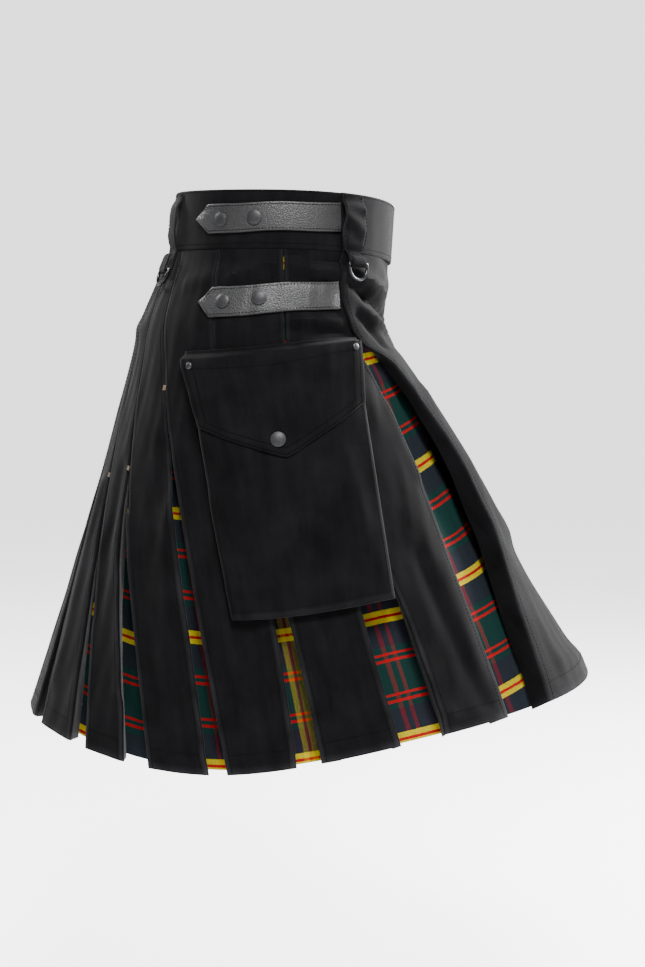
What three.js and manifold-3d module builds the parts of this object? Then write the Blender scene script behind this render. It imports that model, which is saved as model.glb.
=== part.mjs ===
// Hybrid utility kilt in black cotton drill with tartan pleat insets, worn form, no wearer.
// Millimetres, +Z up. The origin is the waist's centre at the waistband's top.
// The wearer faces -Y, and the wearer's right side is -X.
// A place on the kilt is given as: angle in degrees from the front towards the wearer's right,
// down in mm of cloth below the waist's top edge, and lift in mm out from the cloth's face.
import * as THREE from 'three';
import Module from 'manifold-3d';
import { mergeVertices } from 'three/addons/utils/BufferGeometryUtils.js';

// Driving dimensions
const BAND_HEIGHT = 64;          // waistband, top edge to seam
const HEM = 610;                 // cloth length from the waist's top edge to the hem
const INSET_HEM = 606;
const SEAM_GAP = 0.3;            // clearance between neighbouring pieces
const INSET_CLEAR = 0.8;         // between an inset and the returns over it
const CLOTH = 1.4;               // drill and tartan wall
const LAYER = CLOTH + SEAM_GAP;
const BAND_WALL = 3;
const LEATHER = 2.8;
const RETURN_MAX = 30;           // cloth turned under at a pleat's edge
const FOLD_TIGHT = 0.85;         // centre-line radius of a pressed fold
const SHUT = 0.5;                // half the gap between two edges that meet
const STRAP_HALF = 15.7;
const LOOP_HALF_WIDTH = 13.5;

// The body of the kilt. Columns: down, reach from the axis at 0, 45, 90, 135 and 180 degrees,
// and drop below the waist's top at the same five angles.
const FORM = [
  [0, 124, 137, 146, 135, 120, 8, 5, 2, -2, -6],
  [64, 120, 136, 150, 138, 129, 71, 68, 64, 62, 59],
  [110, 117, 138, 158, 154, 148, 115, 112, 110, 109, 104],
  [150, 113, 140, 166, 168, 164, 150, 146, 149, 150, 145],
  [180, 129, 150, 170, 174, 172, 167, 168, 178, 186, 178],
  [400, 239, 236, 211, 216, 230, 357, 362, 391, 392, 378],
  [610, 350, 319, 252, 257, 292, 533, 547, 594, 596, 572],
];
const FORM_ANGLES = [0, 45, 90, 135, 180];

// Pleat openings on one side. Rows: down, then the angle of the fore edge and of the aft edge.
const OPENINGS = {
  p1: { fold: 4, curl: 7, returnMax: 34, rows: [
    [64, 58.5, 58.5], [140, 58.2, 58.2], [178, 57.2, 57.6], [198, 53, 54.6], [225, 45.5, 50],
    [260, 39, 46.3], [300, 33.5, 43.9], [345, 29, 42.3], [400, 28, 41.7], [450, 30, 41.6],
    [520, 32.5, 41.2], [610, 33, 41.4]] },
  q1: { fold: 2.5, returnMax: RETURN_MAX, rows: [
    [64, 58.5, 58.5], [140, 58.2, 58.2], [178, 57.2, 57.2], [225, 49.6, 51.6], [260, 45.2, 48.4],
    [300, 42.1, 46.3], [345, 39.4, 44.6], [400, 37.6, 43.4], [520, 36, 42.4], [610, 36.4, 43.2]] },
  p2: { fold: 2.5, returnMax: RETURN_MAX, rows: [
    [64, 88, 88.4], [178, 86.9, 87.5], [250, 78, 80.2], [320, 70.5, 75], [400, 63.8, 71.4],
    [500, 58.4, 67.9], [610, 56, 64.4]] },
  p3: { fold: 2, returnMax: RETURN_MAX, rows: [
    [64, 117.2, 117.2], [178, 112.9, 112.9], [250, 104, 105.4], [320, 97, 99.3],
    [400, 91, 94.2], [500, 84.9, 89.2], [610, 80.4, 85.8]] },
  p4: { fold: 2, returnMax: RETURN_MAX, rows: [
    [64, 143, 143], [120, 141, 141], [180, 135.5, 135.5], [250, 129.3, 129.9],
    [320, 122.9, 125.1], [400, 116.7, 119.9], [500, 109.5, 113.4], [610, 102.4, 107.2]] },
  p5: { fold: 2, returnMax: RETURN_MAX, rows: [
    [64, 155, 155], [180, 151, 151], [250, 147.8, 148.2], [320, 143.6, 146], [400, 138, 142.5],
    [500, 130.6, 135.6], [610, 123.5, 130.4]] },
  p6: { fold: 2, returnMax: RETURN_MAX, rows: [
    [64, 165, 165], [180, 162, 162], [250, 160.2, 160.6], [320, 157, 158.2],
    [400, 152.4, 154.4], [500, 147, 150.6], [610, 141.8, 147.2]] },
  p7: { fold: 2, returnMax: RETURN_MAX, rows: [
    [64, 173, 173], [180, 171.2, 171.2], [250, 170.2, 170.6], [320, 168.2, 169.2],
    [400, 165.8, 167.4], [500, 162.6, 165.6], [610, 160, 164.5]] },
  p8: { fold: 2, returnMax: RETURN_MAX, rows: [
    [64, 180, 180], [180, 180, 180], [250, 179.8, 180.2], [320, 179.5, 180.5],
    [400, 179, 181], [500, 178.4, 181.6], [610, 177.7, 182.3]] },
};

// Rows of the pleats and of the aprons, as cloth lengths below the waist's top edge
const PLEAT_ROWS = [64.3, 112, 150, 180, 215, 260, 320, 400, 500, 610];
const APRON_ROWS = [64.3, 95, 128, 148, 163, 178, 198, 225, 260, 300, 345, 400, 450, 520, 610];

// Monotone cubic through a column of a table
function column(rows, index) {
  const xs = rows.map((row) => row[0]);
  const ys = rows.map((row) => row[index]);
  const last = xs.length - 1;
  const step = xs.slice(1).map((x, i) => x - xs[i]);
  const rise = step.map((h, i) => (ys[i + 1] - ys[i]) / h);
  const endSlope = (h0, h1, d0, d1) => {
    const slope = ((2 * h0 + h1) * d0 - h0 * d1) / (h0 + h1);
    if (slope * d0 <= 0) return 0;
    return d0 * d1 < 0 && Math.abs(slope) > 3 * Math.abs(d0) ? 3 * d0 : slope;
  };
  const slopes = xs.map((x, i) => {
    if (i === 0) return endSlope(step[0], step[1], rise[0], rise[1]);
    if (i === last) return endSlope(step[last - 1], step[last - 2], rise[last - 1], rise[last - 2]);
    if (rise[i - 1] * rise[i] <= 0) return 0;
    const before = 2 * step[i] + step[i - 1];
    const after = step[i] + 2 * step[i - 1];
    return (before + after) / (before / rise[i - 1] + after / rise[i]);
  });
  return (x) => {
    const inside = Math.min(Math.max(x, xs[0]), xs[last]);
    let i = 0;
    while (i < last - 1 && inside > xs[i + 1]) i += 1;
    const h = step[i];
    const t = (inside - xs[i]) / h;
    const t2 = t * t;
    const t3 = t2 * t;
    return (2 * t3 - 3 * t2 + 1) * ys[i] + (t3 - 2 * t2 + t) * h * slopes[i]
      + (3 * t2 - 2 * t3) * ys[i + 1] + (t3 - t2) * h * slopes[i + 1];
  };
}

const rad = THREE.MathUtils.degToRad;
const { lerp, smoothstep } = THREE.MathUtils;

// Weights that carry five values at FORM_ANGLES to any angle, by even cosine waves
function cosineWeights(angle) {
  const n = FORM_ANGLES.length - 1;
  return FORM_ANGLES.map((at, j) => {
    let sum = 0;
    for (let k = 0; k <= n; k += 1) {
      const share = (k === 0 || k === n ? 1 : 2) * (j === 0 || j === n ? 1 : 2);
      sum += share * Math.cos(k * rad(at)) * Math.cos(k * rad(angle));
    }
    return sum / (2 * n);
  });
}

const REACH = FORM_ANGLES.map((_, i) => column(FORM, 1 + i));
const DROP = FORM_ANGLES.map((_, i) => column(FORM, 6 + i));

// The cloth's face at an angle and a length down
function face(angle, down) {
  const weights = cosineWeights(angle);
  const reach = weights.reduce((sum, w, i) => sum + w * REACH[i](down), 0);
  const drop = weights.reduce((sum, w, i) => sum + w * DROP[i](down), 0);
  return new THREE.Vector3(-reach * Math.sin(rad(angle)), -reach * Math.cos(rad(angle)), -drop);
}

function outward(angle, down) {
  const across = face(angle + 1, down).sub(face(angle - 1, down));
  const along = face(angle, Math.min(down + 6, HEM)).sub(face(angle, Math.max(down - 6, 0)));
  return across.cross(along).normalize();
}

function at(angle, down, lift) {
  return face(angle, down).addScaledVector(outward(angle, down), lift);
}

// Millimetres of cloth to one degree round the kilt
function perDegree(angle, down) {
  return face(angle + 0.5, down).distanceTo(face(angle - 0.5, down));
}

// A closed solid from rows of points, each row a closed loop of the same length: first the
// ribbon's outer points, then its inner ones back again. Both sides split their faces along the
// same diagonal, so the wall keeps its thickness where the ribbon twists.
function loftLoops(rows) {
  const count = rows[0].length;
  const half = count / 2;
  const positions = rows.flat().flatMap((p) => [p.x, p.y, p.z]);
  const index = [];
  for (let r = 0; r < rows.length - 1; r += 1) {
    for (let i = 0; i < count; i += 1) {
      const a = r * count + i;
      const b = r * count + ((i + 1) % count);
      if (i < half) index.push(a, b, a + count, b, b + count, a + count);
      else index.push(a, b, b + count, a, b + count, a + count);
    }
  }
  // The end caps join the ribbon's outer points to its inner points
  for (const [base, flip] of [[0, true], [(rows.length - 1) * count, false]]) {
    for (let i = 0; i < half - 1; i += 1) {
      const outer = [base + i, base + i + 1];
      const inner = [base + count - 1 - i, base + count - 2 - i];
      if (flip) index.push(outer[0], inner[0], outer[1], outer[1], inner[0], inner[1]);
      else index.push(outer[0], outer[1], inner[0], outer[1], inner[1], inner[0]);
    }
  }
  return solid(positions, index);
}

// An indexed geometry with its faces turned outwards
function solid(positions, index) {
  let volume = 0;
  const p = (i) => new THREE.Vector3(positions[3 * i], positions[3 * i + 1], positions[3 * i + 2]);
  for (let i = 0; i < index.length; i += 3) {
    volume += p(index[i]).dot(p(index[i + 1]).cross(p(index[i + 2])));
  }
  if (volume < 0) {
    for (let i = 0; i < index.length; i += 3) [index[i], index[i + 1]] = [index[i + 1], index[i]];
  }
  const geometry = new THREE.BufferGeometry();
  geometry.setAttribute('position', new THREE.Float32BufferAttribute(positions, 3));
  geometry.setIndex(index);
  geometry.computeVertexNormals();
  return geometry;
}

// Two sides of a wall round a centre line given as [mm across, lift] points
function wallOutline(line, wall) {
  const outer = [];
  const inner = [];
  line.forEach((point, i) => {
    const before = line[Math.max(i - 1, 0)];
    const after = line[Math.min(i + 1, line.length - 1)];
    const unit = (a, b) => {
      const length = Math.hypot(b[0] - a[0], b[1] - a[1]);
      return [(b[0] - a[0]) / length, (b[1] - a[1]) / length];
    };
    const next = i < line.length - 1 ? unit(point, after) : unit(before, point);
    const last = i > 0 ? unit(before, point) : next;
    const normal = [-(next[1] + last[1]) / 2, (next[0] + last[0]) / 2];
    const size = Math.hypot(normal[0], normal[1]);
    const reach = (wall / 2) * Math.min(1 / size, 1.5) / size;
    outer.push([point[0] + normal[0] * reach, point[1] + normal[1] * reach]);
    inner.push([point[0] - normal[0] * reach, point[1] - normal[1] * reach]);
  });
  return [...outer, ...inner.reverse()];
}

// A wall swept down the kilt. section(down) gives { mm, line }: the line's points are
// [angle, lift], and mm is the cloth's length to a degree there.
function sweptWall(downs, section, wall) {
  return loftLoops(downs.map((down) => {
    const { mm, line } = section(down);
    const flat = line.map(([angle, lift]) => [angle * mm, lift]);
    return wallOutline(flat, wall).map(([across, lift]) => at(across / mm, down, lift));
  }));
}

// Where a pleat opening lies at one height
function opening(name, down) {
  const { rows, fold, returnMax, curl = 0 } = OPENINGS[name];
  const fore = column(rows, 1)(down);
  const aft = Math.max(column(rows, 2)(down), fore);
  const middle = (fore + aft) / 2;
  const mm = perDegree(middle, down);
  const halfGap = Math.max(((aft - fore) * mm) / 2, SHUT);
  return { middle, mm, halfGap, fold: lerp(FOLD_TIGHT, fold, smoothstep(down, 200, 420)), returnMax, curl };
}

// p1 is the open pleat beside the apron's free edge and q1 its closed mate on the left side
const RIGHT = ['p1', 'p2', 'p3', 'p4', 'p5', 'p6', 'p7', 'p8'];
const LEFT = ['q1', ...RIGHT.slice(1)];

// Width of the panel between two openings, in mm
function panelWidth(foreName, aftName, down) {
  const fore = opening(foreName, down);
  const aft = opening(aftName, down);
  const mm = perDegree((fore.middle + aft.middle) / 2, down);
  return (aft.middle - fore.middle) * mm - fore.halfGap - aft.halfGap;
}

// Half the inset's width, limited by the narrower panel beside it, and how deep it hangs
function pleat(name, down) {
  const here = opening(name, down);
  const i = Math.max(RIGHT.indexOf(name), 0);
  const beside = [];
  if (i > 0) beside.push(panelWidth(RIGHT[i - 1], name, down));
  if (i < RIGHT.length - 1) beside.push(panelWidth(name, RIGHT[i + 1], down));
  const half = Math.min(here.returnMax, Math.min(...beside) / 2 + here.halfGap - 1.8);
  const run = Math.max(half - here.halfGap, 0);
  const depth = Math.sqrt((LAYER + CLOTH / 2) ** 2 + half ** 2 - run ** 2);
  return { ...here, half, depth };
}

// Centre line of a turned-under edge, from the return's free end to the start of the face.
// Points are [mm from the opening's middle, lift].
function turnedEdge({ halfGap, half, depth, fold }) {
  const centre = [halfGap + CLOTH / 2 + fold, -(CLOTH / 2 + fold)];
  const end = [half, -depth];
  let slope = 0;
  let leave = centre;
  for (let i = 0; i < 6; i += 1) {
    leave = [centre[0] - fold * Math.sin(slope), centre[1] - fold * Math.cos(slope)];
    slope = Math.atan2(leave[1] - end[1], end[0] - leave[0]);
  }
  const mid = Math.PI - slope / 2;
  const turn = [centre[0] + fold * Math.cos(mid), centre[1] + fold * Math.sin(mid)];
  return { slope, line: [end, leave, turn, [centre[0], -CLOTH / 2]] };
}

// How far a panel's middle lies in from the round, because the cloth hangs flat
function flatten(width, angle, down) {
  const reach = Math.hypot(face(angle, down).x, face(angle, down).y);
  return (width * width) / (8 * reach) * 0.75 * smoothstep(down, 190, 420);
}

// A pleat panel between two openings, with a return at both edges
function panelSection(foreName, aftName, steps, down) {
  const fore = pleat(foreName, down);
  const aft = pleat(aftName, down);
  const foreLine = turnedEdge(fore).line.map(([across, lift]) => [fore.middle + across / fore.mm, lift]);
  const aftLine = turnedEdge(aft).line.map(([across, lift]) => [aft.middle - across / aft.mm, lift]);
  const curl = fore.curl * smoothstep(down, 185, 260);
  for (const i of [1, 2, 3]) foreLine[i][1] -= curl;
  const start = foreLine[3][0];
  const stop = aftLine[3][0];
  const middle = (start + stop) / 2;
  const mm = perDegree(middle, down);
  const dip = flatten((stop - start) * mm, middle, down);
  const between = [];
  for (let i = 1; i < steps; i += 1) {
    const t = i / steps;
    const curled = curl * Math.max(0, 1 - t * 3) ** 2;
    between.push([lerp(start, stop, t), -CLOTH / 2 - dip * 4 * t * (1 - t) - curled]);
  }
  return { mm, line: [...foreLine, ...between, ...aftLine.reverse()] };
}

function insetLift(here) {
  const cover = (CLOTH / 2) * Math.cos(turnedEdge(here).slope);
  return -(here.depth + cover + INSET_CLEAR + CLOTH / 2);
}

function insetSection(name, down) {
  const here = pleat(name, down);
  const half = here.half + 1;
  const lift = insetLift(here);
  const line = [-1, -0.5, 0, 0.5, 1].map((t) => [here.middle + (t * half) / here.mm, lift]);
  return { mm: here.mm, line };
}

// The outer apron: its free edge overlaps the first pleat panel down to the fell's end, then
// runs forward along the shoulder and down beside the first opening.
// Columns: down, the edge's angle, and how far it flares forward there.
const APRON_EDGE = [
  [64, 63.2, 0], [110, 64.6, 0], [140, 62, 0], [163, 58.6, 0], [178, 54, 2], [186, 48, 3],
  [198, 41.5, 4], [225, 34, 4], [260, 28.5, 4.5], [300, 24.3, 7], [345, 21.5, 9], [400, 20.8, 8],
  [450, 23.5, 4], [500, 27, 1], [550, 29.2, 0], [610, 32, 0],
];
const FACING = [8, 20];          // cloth turned under at the apron's free edge, from hip to hem
const EDGE_ROLL = 4;
const FORE_REACH = 50;           // how far the first right inset runs on behind the free edge
const LAP = 2 * LAYER + 0.35;    // how far out the doubled free edge lies on the first panel
const apronEdge = column(APRON_EDGE, 1);
const apronFlare = column(APRON_EDGE, 2);
const facing = (down) => lerp(FACING[0], FACING[1], smoothstep(down, 230, 430));

function apronSection(down) {
  const edge = apronEdge(down);
  const mm = perDegree(edge, down);
  const over = LAP * (1 - smoothstep(down, 160, 186));
  const flare = apronFlare(down);
  const roll = lerp(FOLD_TIGHT, EDGE_ROLL, smoothstep(down, 170, 215));
  const slope = rad(88) * smoothstep(down, 172, 205);
  const centre = [-(CLOTH / 2 + roll), -(CLOTH / 2 + roll)];
  const off = [centre[0] + roll * Math.sin(slope), centre[1] - roll * Math.cos(slope)];
  const turned = down < 178 ? FACING[1] : facing(down);
  const end = [off[0] - turned * Math.cos(slope), off[1] - turned * Math.sin(slope)];
  const turn = [centre[0] + roll * Math.cos(slope / 2), centre[1] + roll * Math.sin(slope / 2)];
  const rightLine = [[centre[0], -CLOTH / 2], turn, off, end]
    .map(([across, lift]) => [edge + across / mm, lift + over + flare]);
  const sewn = pleat('q1', down);
  const leftLine = turnedEdge(sewn).line.map(([across, lift]) => [across / sewn.mm - sewn.middle, lift]);
  const start = leftLine[3][0];
  const stop = rightLine[0][0];
  const steps = 13;
  const between = [];
  for (let i = 1; i < steps; i += 1) {
    const angle = lerp(start, stop, i / steps);
    const flared = flare * smoothstep(angle, Math.min(0, edge - 40), edge);
    between.push([angle, -CLOTH / 2 + over * smoothstep(angle, 20, 44) + flared]);
  }
  return { mm: perDegree(0, down), line: [...leftLine, ...between, ...rightLine] };
}

// The first right inset: it reaches on forward behind the apron's free edge, where it is
// joined to the under apron. Gives the fore end's angle and lift.
function forwardEnd(down) {
  const here = pleat('p1', down);
  const open = smoothstep(down, 172, 215);
  const edge = apronEdge(down);
  const behind = edge - (2 * EDGE_ROLL + FORE_REACH) / perDegree(edge, down);
  const below = apronFlare(down) - facing(down) - EDGE_ROLL - CLOTH - LAYER;
  return {
    angle: lerp(here.middle - (here.half + 1) / here.mm, behind, open),
    lift: lerp(insetLift(here), Math.min(below, insetLift(here) + 6), open),
  };
}
function forwardInsetSection(down) {
  const here = pleat('p1', down);
  const fore = forwardEnd(down);
  const aftAngle = here.middle + (here.half + 1) / here.mm;
  const aftLift = insetLift(here);
  const line = [0, 0.2, 0.4, 0.6, 0.8, 1].map((t) => [
    lerp(fore.angle, aftAngle, t), lerp(fore.lift, aftLift, t)]);
  return { mm: here.mm, line };
}

// The under apron: from the first right inset's fore edge, below the outer apron, to its free
// edge just short of the left return
function underApronSection(down) {
  const { angle, lift } = forwardEnd(down);
  const from = angle - SEAM_GAP * 1.5 / perDegree(angle, down);
  const sewn = pleat('q1', down);
  const to = (sewn.half + 6) / sewn.mm - sewn.middle;
  const front = -(CLOTH / 2 + 2 * LAYER + 1.5);
  const line = [];
  const steps = 9;
  for (let i = 0; i <= steps; i += 1) {
    const angle = lerp(from, to, i / steps);
    const ease = smoothstep(i / steps, 0, 0.45);
    line.push([angle, lerp(lift, front, ease)]);
  }
  return { mm: perDegree(0, down), line: line.reverse() };
}

// The waistband runs from its outer end on the wearer's right, round the front, the left and
// the back, and on below its own start to its inner end.
const BAND_OUTER_END = 63.2;
const BAND_INNER_END = -48;
const BAND_LAP = BAND_WALL + SEAM_GAP;
const bandFace = (turn) => (turn > BAND_OUTER_END ? 0 : BAND_LAP * smoothstep(turn, -85, -52));
function waistbandGeometry() {
  const path = [];
  for (let turn = BAND_OUTER_END; turn > BAND_INNER_END - 360; turn -= 8) path.push(turn);
  path.push(BAND_INNER_END - 360);
  const line = path.map((turn) => [turn, bandFace(turn) - BAND_WALL / 2]);
  return sweptWall([0, 16, 32, 48, BAND_HEIGHT], (down) => ({ mm: perDegree(90, down), line }), BAND_WALL);
}

// A leather strip laid on the kilt, with a pointed aft end. seat(angle) is the lift it lies on.
function strapGeometry({ fore, aft, tip, foreDown, aftDown, seat }) {
  const steps = 9;
  const stations = [];
  for (let i = 0; i <= steps; i += 1) {
    const t = i / steps;
    stations.push([lerp(fore, aft, t), lerp(foreDown, aftDown, t), STRAP_HALF]);
  }
  stations.push([tip, aftDown, 1]);
  return loftLoops(stations.map(([angle, down, half]) => {
    const low = seat(angle);
    const high = low + LEATHER;
    return [
      at(angle, down - half, high), at(angle, down, high), at(angle, down + half, high),
      at(angle, down + half, low), at(angle, down, low), at(angle, down - half, low)];
  }));
}

// A lathed cap standing on the cloth
const SNAP_PROFILE = [[0, 0], [8, 0], [8, 1.1], [6.6, 2.5], [3.4, 3.2], [0, 3.4]];
function capGeometry(profile, angle, down, lift) {
  const points = profile.map(([radius, height]) => new THREE.Vector2(radius, height));
  const geometry = new THREE.LatheGeometry(points, 12);
  const out = outward(angle, down);
  geometry.applyQuaternion(new THREE.Quaternion().setFromUnitVectors(new THREE.Vector3(0, 1, 0), out));
  const place = at(angle, down, lift);
  geometry.translate(place.x, place.y, place.z);
  return geometry;
}

// Materials
const drill = new THREE.MeshStandardMaterial({ color: 0x17171a, roughness: 0.85 });
const tartan = new THREE.MeshStandardMaterial({ color: 0x2b4a3c, roughness: 0.85 });
const leather = new THREE.MeshStandardMaterial({ color: 0x101012, roughness: 0.45 });
const steel = new THREE.MeshStandardMaterial({ color: 0xb8bac0, roughness: 0.25, metalness: 1 });

const group = new THREE.Group();
function add(name, geometry, material) {
  const mesh = new THREE.Mesh(geometry, material);
  mesh.name = name;
  group.add(mesh);
  return mesh;
}

// The same shape on the wearer's left side
function mirrored(geometry) {
  const copy = geometry.clone();
  copy.scale(-1, 1, 1);
  return solid([...copy.attributes.position.array], [...copy.index.array]);
}
function addPair(name, geometry, material) {
  add(`${name}_right`, geometry, material);
  add(`${name}_left`, mirrored(geometry), material);
}

// Manifold solids, for the pocket's hollow
const wasm = await Module();
wasm.setup();
function toManifold(geometry) {
  const bare = geometry.clone();
  bare.deleteAttribute('normal');
  const merged = mergeVertices(bare, 1e-4);
  return new wasm.Manifold(new wasm.Mesh({
    numProp: 3,
    vertProperties: new Float32Array(merged.attributes.position.array),
    triVerts: new Uint32Array(merged.index.array),
  }));
}
function fromManifold(shape) {
  const mesh = shape.getMesh();
  return solid([...mesh.vertProperties], [...mesh.triVerts]);
}

// Cargo pocket, as places on the kilt: [angle, down] of its corners
const POCKET = { topAft: [124, 181], topFore: [60, 178], lowFore: [61.3, 459], lowAft: [102.2, 452] };
const POCKET_SEAT = 2.2;
const POCKET_DEPTH = 6.6;
const POCKET_WALL = 1.6;
function onPocket(u, v) {
  const top = [lerp(POCKET.topFore[0], POCKET.topAft[0], u), lerp(POCKET.topFore[1], POCKET.topAft[1], u)];
  const low = [lerp(POCKET.lowFore[0], POCKET.lowAft[0], u), lerp(POCKET.lowFore[1], POCKET.lowAft[1], u)];
  // The sides stay nearly straight on the cloth while the kilt widens below
  const ease = Math.max(v, 0) ** 0.8;
  return [lerp(top[0], low[0], ease), lerp(top[1], low[1], v)];
}
// A pad on the pocket's area, inset on the sides and the bottom, between two lifts
function pocketPad(inset, top, low, high) {
  const across = [0, 0.05, 0.27, 0.5, 0.73, 0.95, 1];
  const along = [top, 0.14, 0.32, 0.55, 0.8, 0.97 - inset, 1 - inset];
  return loftLoops(along.map((v, row) => {
    const place = (t, lift) => {
      const [angle, down] = onPocket(lerp(inset, 1 - inset, t), v);
      return at(angle, down, lift);
    };
    const thin = row === along.length - 1 ? 2 : 0;
    const outer = across.map((t) => place(t, t === 0 || t === 1 ? high - 2 : high - thin));
    const inner = across.map((t) => place(t, low));
    return [...outer, ...inner.reverse()];
  }));
}
function pocketGeometry() {
  const bag = pocketPad(0, 0, POCKET_SEAT, POCKET_SEAT + POCKET_DEPTH);
  const hollow = pocketPad(0.03, -0.02, POCKET_SEAT + POCKET_WALL, POCKET_SEAT + POCKET_DEPTH - POCKET_WALL);
  return fromManifold(toManifold(bag).subtract(toManifold(hollow)));
}

// The flap is sewn above the bag, steps out over its mouth and ends in a point
const FLAP = { above: 14, step: 9, side: 246, point: 290, wall: 2.2, clear: 1.2 };
const FLAP_FACE = POCKET_SEAT + POCKET_DEPTH + FLAP.clear + FLAP.wall;
function flapGeometry() {
  const across = [-0.012, 0.125, 0.25, 0.375, 0.5, 0.625, 0.75, 0.875, 1.012];
  const rows = [-1, -0.4, 0, 0.25, 0.5, 0.75, 1];
  return loftLoops(rows.map((v) => {
    const out = v < 0 ? 0 : 1;
    const points = across.map((u) => {
      const side = u - 0.025 * Math.max(v, 0) * Math.sign(u - 0.5) * smoothstep(Math.abs(u - 0.5), 0.3, 0.5);
      const top = lerp(POCKET.topFore[1], POCKET.topAft[1], u) - FLAP.above;
      const end = lerp(FLAP.point, FLAP.side, Math.abs(u - 0.5) * 2);
      const step = top + FLAP.step;
      const down = v < 0 ? step + v * FLAP.step : lerp(step, end, v);
      const [angle] = onPocket(side, Math.max(0, (down - 180) / 275));
      const low = lerp(POCKET_SEAT, FLAP_FACE - FLAP.wall, out);
      return { angle, down, low };
    });
    const outer = points.map(({ angle, down, low }) => at(angle, down, low + FLAP.wall));
    const inner = points.map(({ angle, down, low }) => at(angle, down, low));
    return [...outer, ...inner.reverse()];
  }));
}

// Belt loop: sewn at the band's top and at its seam, it stands off the band between them, and
// its lower tab folds round the straight bar of a D-ring. Columns: down, lift, half width.
const LOOP_WALL = 1.8;
const RING_WIRE = 1.7;
const TAB_HALF = 8.6;
const TUNNEL = RING_WIRE + SEAM_GAP + LOOP_WALL / 2 + 0.8;
const SEWN_LIFT = SEAM_GAP + LOOP_WALL / 2;
const TAB_LIFT = SEWN_LIFT + 1.8;
const loopPath = (bar) => [
  [3, SEWN_LIFT, LOOP_HALF_WIDTH], [8, SEWN_LIFT, LOOP_HALF_WIDTH], [16, 6.2, LOOP_HALF_WIDTH],
  [30, 7.3, LOOP_HALF_WIDTH], [46, 7.2, LOOP_HALF_WIDTH], [57, 5, LOOP_HALF_WIDTH - 1],
  [62.5, SEWN_LIFT + 0.4, LOOP_HALF_WIDTH - 2.5], [67, TAB_LIFT, TAB_HALF], [bar, TAB_LIFT, TAB_HALF],
  [bar + TUNNEL * 0.9, TAB_LIFT + TUNNEL * 0.6, TAB_HALF],
  [bar + TUNNEL * 0.9, TAB_LIFT + TUNNEL * 1.4, TAB_HALF],
  [bar, TAB_LIFT + TUNNEL * 2, TAB_HALF], [72, TAB_LIFT + TUNNEL * 1.8, TAB_HALF],
  [69, TAB_LIFT + TUNNEL * 1.1, TAB_HALF],
];
function loopGeometry({ angle, base, bar }) {
  const path = loopPath(bar);
  const outline = wallOutline(path.map(([down, lift]) => [down, lift]), LOOP_WALL);
  const halves = path.map((row) => row[2]);
  const widths = [...halves, ...[...halves].reverse()];
  return loftLoops([-1, 0, 1].map((side) => outline.map(([down, lift], i) => (
    at(angle + (side * widths[i]) / perDegree(angle, down), down, base + lift)))));
}

// D-ring: a bent wire whose straight bar lies in the tab
const RING_HALF = 13;
const RING_DROP = 17;
function ringFrame({ angle, base, bar }) {
  const centre = at(angle, bar, base + TAB_LIFT + TUNNEL);
  const out = outward(angle, bar);
  const down = at(angle, bar + 4, 0).sub(at(angle, bar - 4, 0)).normalize();
  const across = new THREE.Vector3().crossVectors(out, down).normalize();
  down.crossVectors(across, out).normalize();
  return { centre, out, down, across };
}
function ringGeometry(loop) {
  const { centre, out, down, across } = ringFrame(loop);
  const path = [[-RING_HALF, 0], [0, 0], [RING_HALF, 0]];
  const bends = 8;
  for (let i = 1; i < bends; i += 1) {
    const turn = (Math.PI * i) / bends;
    path.push([RING_HALF * Math.cos(turn) * 1.02, RING_DROP * Math.sin(turn) ** 0.8]);
  }
  const sides = 6;
  const positions = [];
  const index = [];
  path.forEach((point, i) => {
    const before = path[(i + path.length - 1) % path.length];
    const after = path[(i + 1) % path.length];
    const a = new THREE.Vector2(point[0] - before[0], point[1] - before[1]).normalize();
    const b = new THREE.Vector2(after[0] - point[0], after[1] - point[1]).normalize();
    const normal = new THREE.Vector2(-(a.y + b.y), a.x + b.x);
    const size = normal.length() / 2;
    normal.normalize().multiplyScalar(Math.min(1 / size, 1.3));
    for (let k = 0; k < sides; k += 1) {
      const turn = (2 * Math.PI * (k + 0.5)) / sides;
      const p = centre.clone()
        .addScaledVector(across, point[0] + normal.x * RING_WIRE * Math.cos(turn))
        .addScaledVector(down, point[1] + normal.y * RING_WIRE * Math.cos(turn))
        .addScaledVector(out, RING_WIRE * Math.sin(turn));
      positions.push(p.x, p.y, p.z);
      const here = i * sides + k;
      const beside = i * sides + ((k + 1) % sides);
      const next = ((i + 1) % path.length) * sides;
      index.push(here, beside, next + k, beside, next + ((k + 1) % sides), next + k);
    }
  });
  return solid(positions, index);
}

add('waistband', waistbandGeometry(), drill);
add('outer_apron', sweptWall(APRON_ROWS, apronSection, CLOTH), drill);
add('under_apron', sweptWall(APRON_ROWS, underApronSection, CLOTH), drill);
const insetRows = (rows) => [...rows.slice(0, -1), INSET_HEM];
for (const [side, names] of [['right', RIGHT], ['left', LEFT]]) {
  const turned = (geometry) => (side === 'left' ? mirrored(geometry) : geometry);
  for (let i = 0; i < names.length - 1; i += 1) {
    const steps = i < 3 ? 4 + (names[i] === 'p1') : 2;
    const rows = i === 0 ? APRON_ROWS : PLEAT_ROWS;
    const panel = sweptWall(rows, (down) => panelSection(names[i], names[i + 1], steps, down), CLOTH);
    add(`panel_${i + 1}_${side}`, turned(panel), drill);
    const section = names[i] === 'p1' ? forwardInsetSection : (down) => insetSection(names[i], down);
    const inset = sweptWall(insetRows(rows), section, CLOTH);
    add(`inset_${i + 1}_${side}`, turned(inset), tartan);
  }
}
add('inset_back', sweptWall(insetRows(PLEAT_ROWS), (down) => insetSection('p8', down), CLOTH), tartan);

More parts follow.
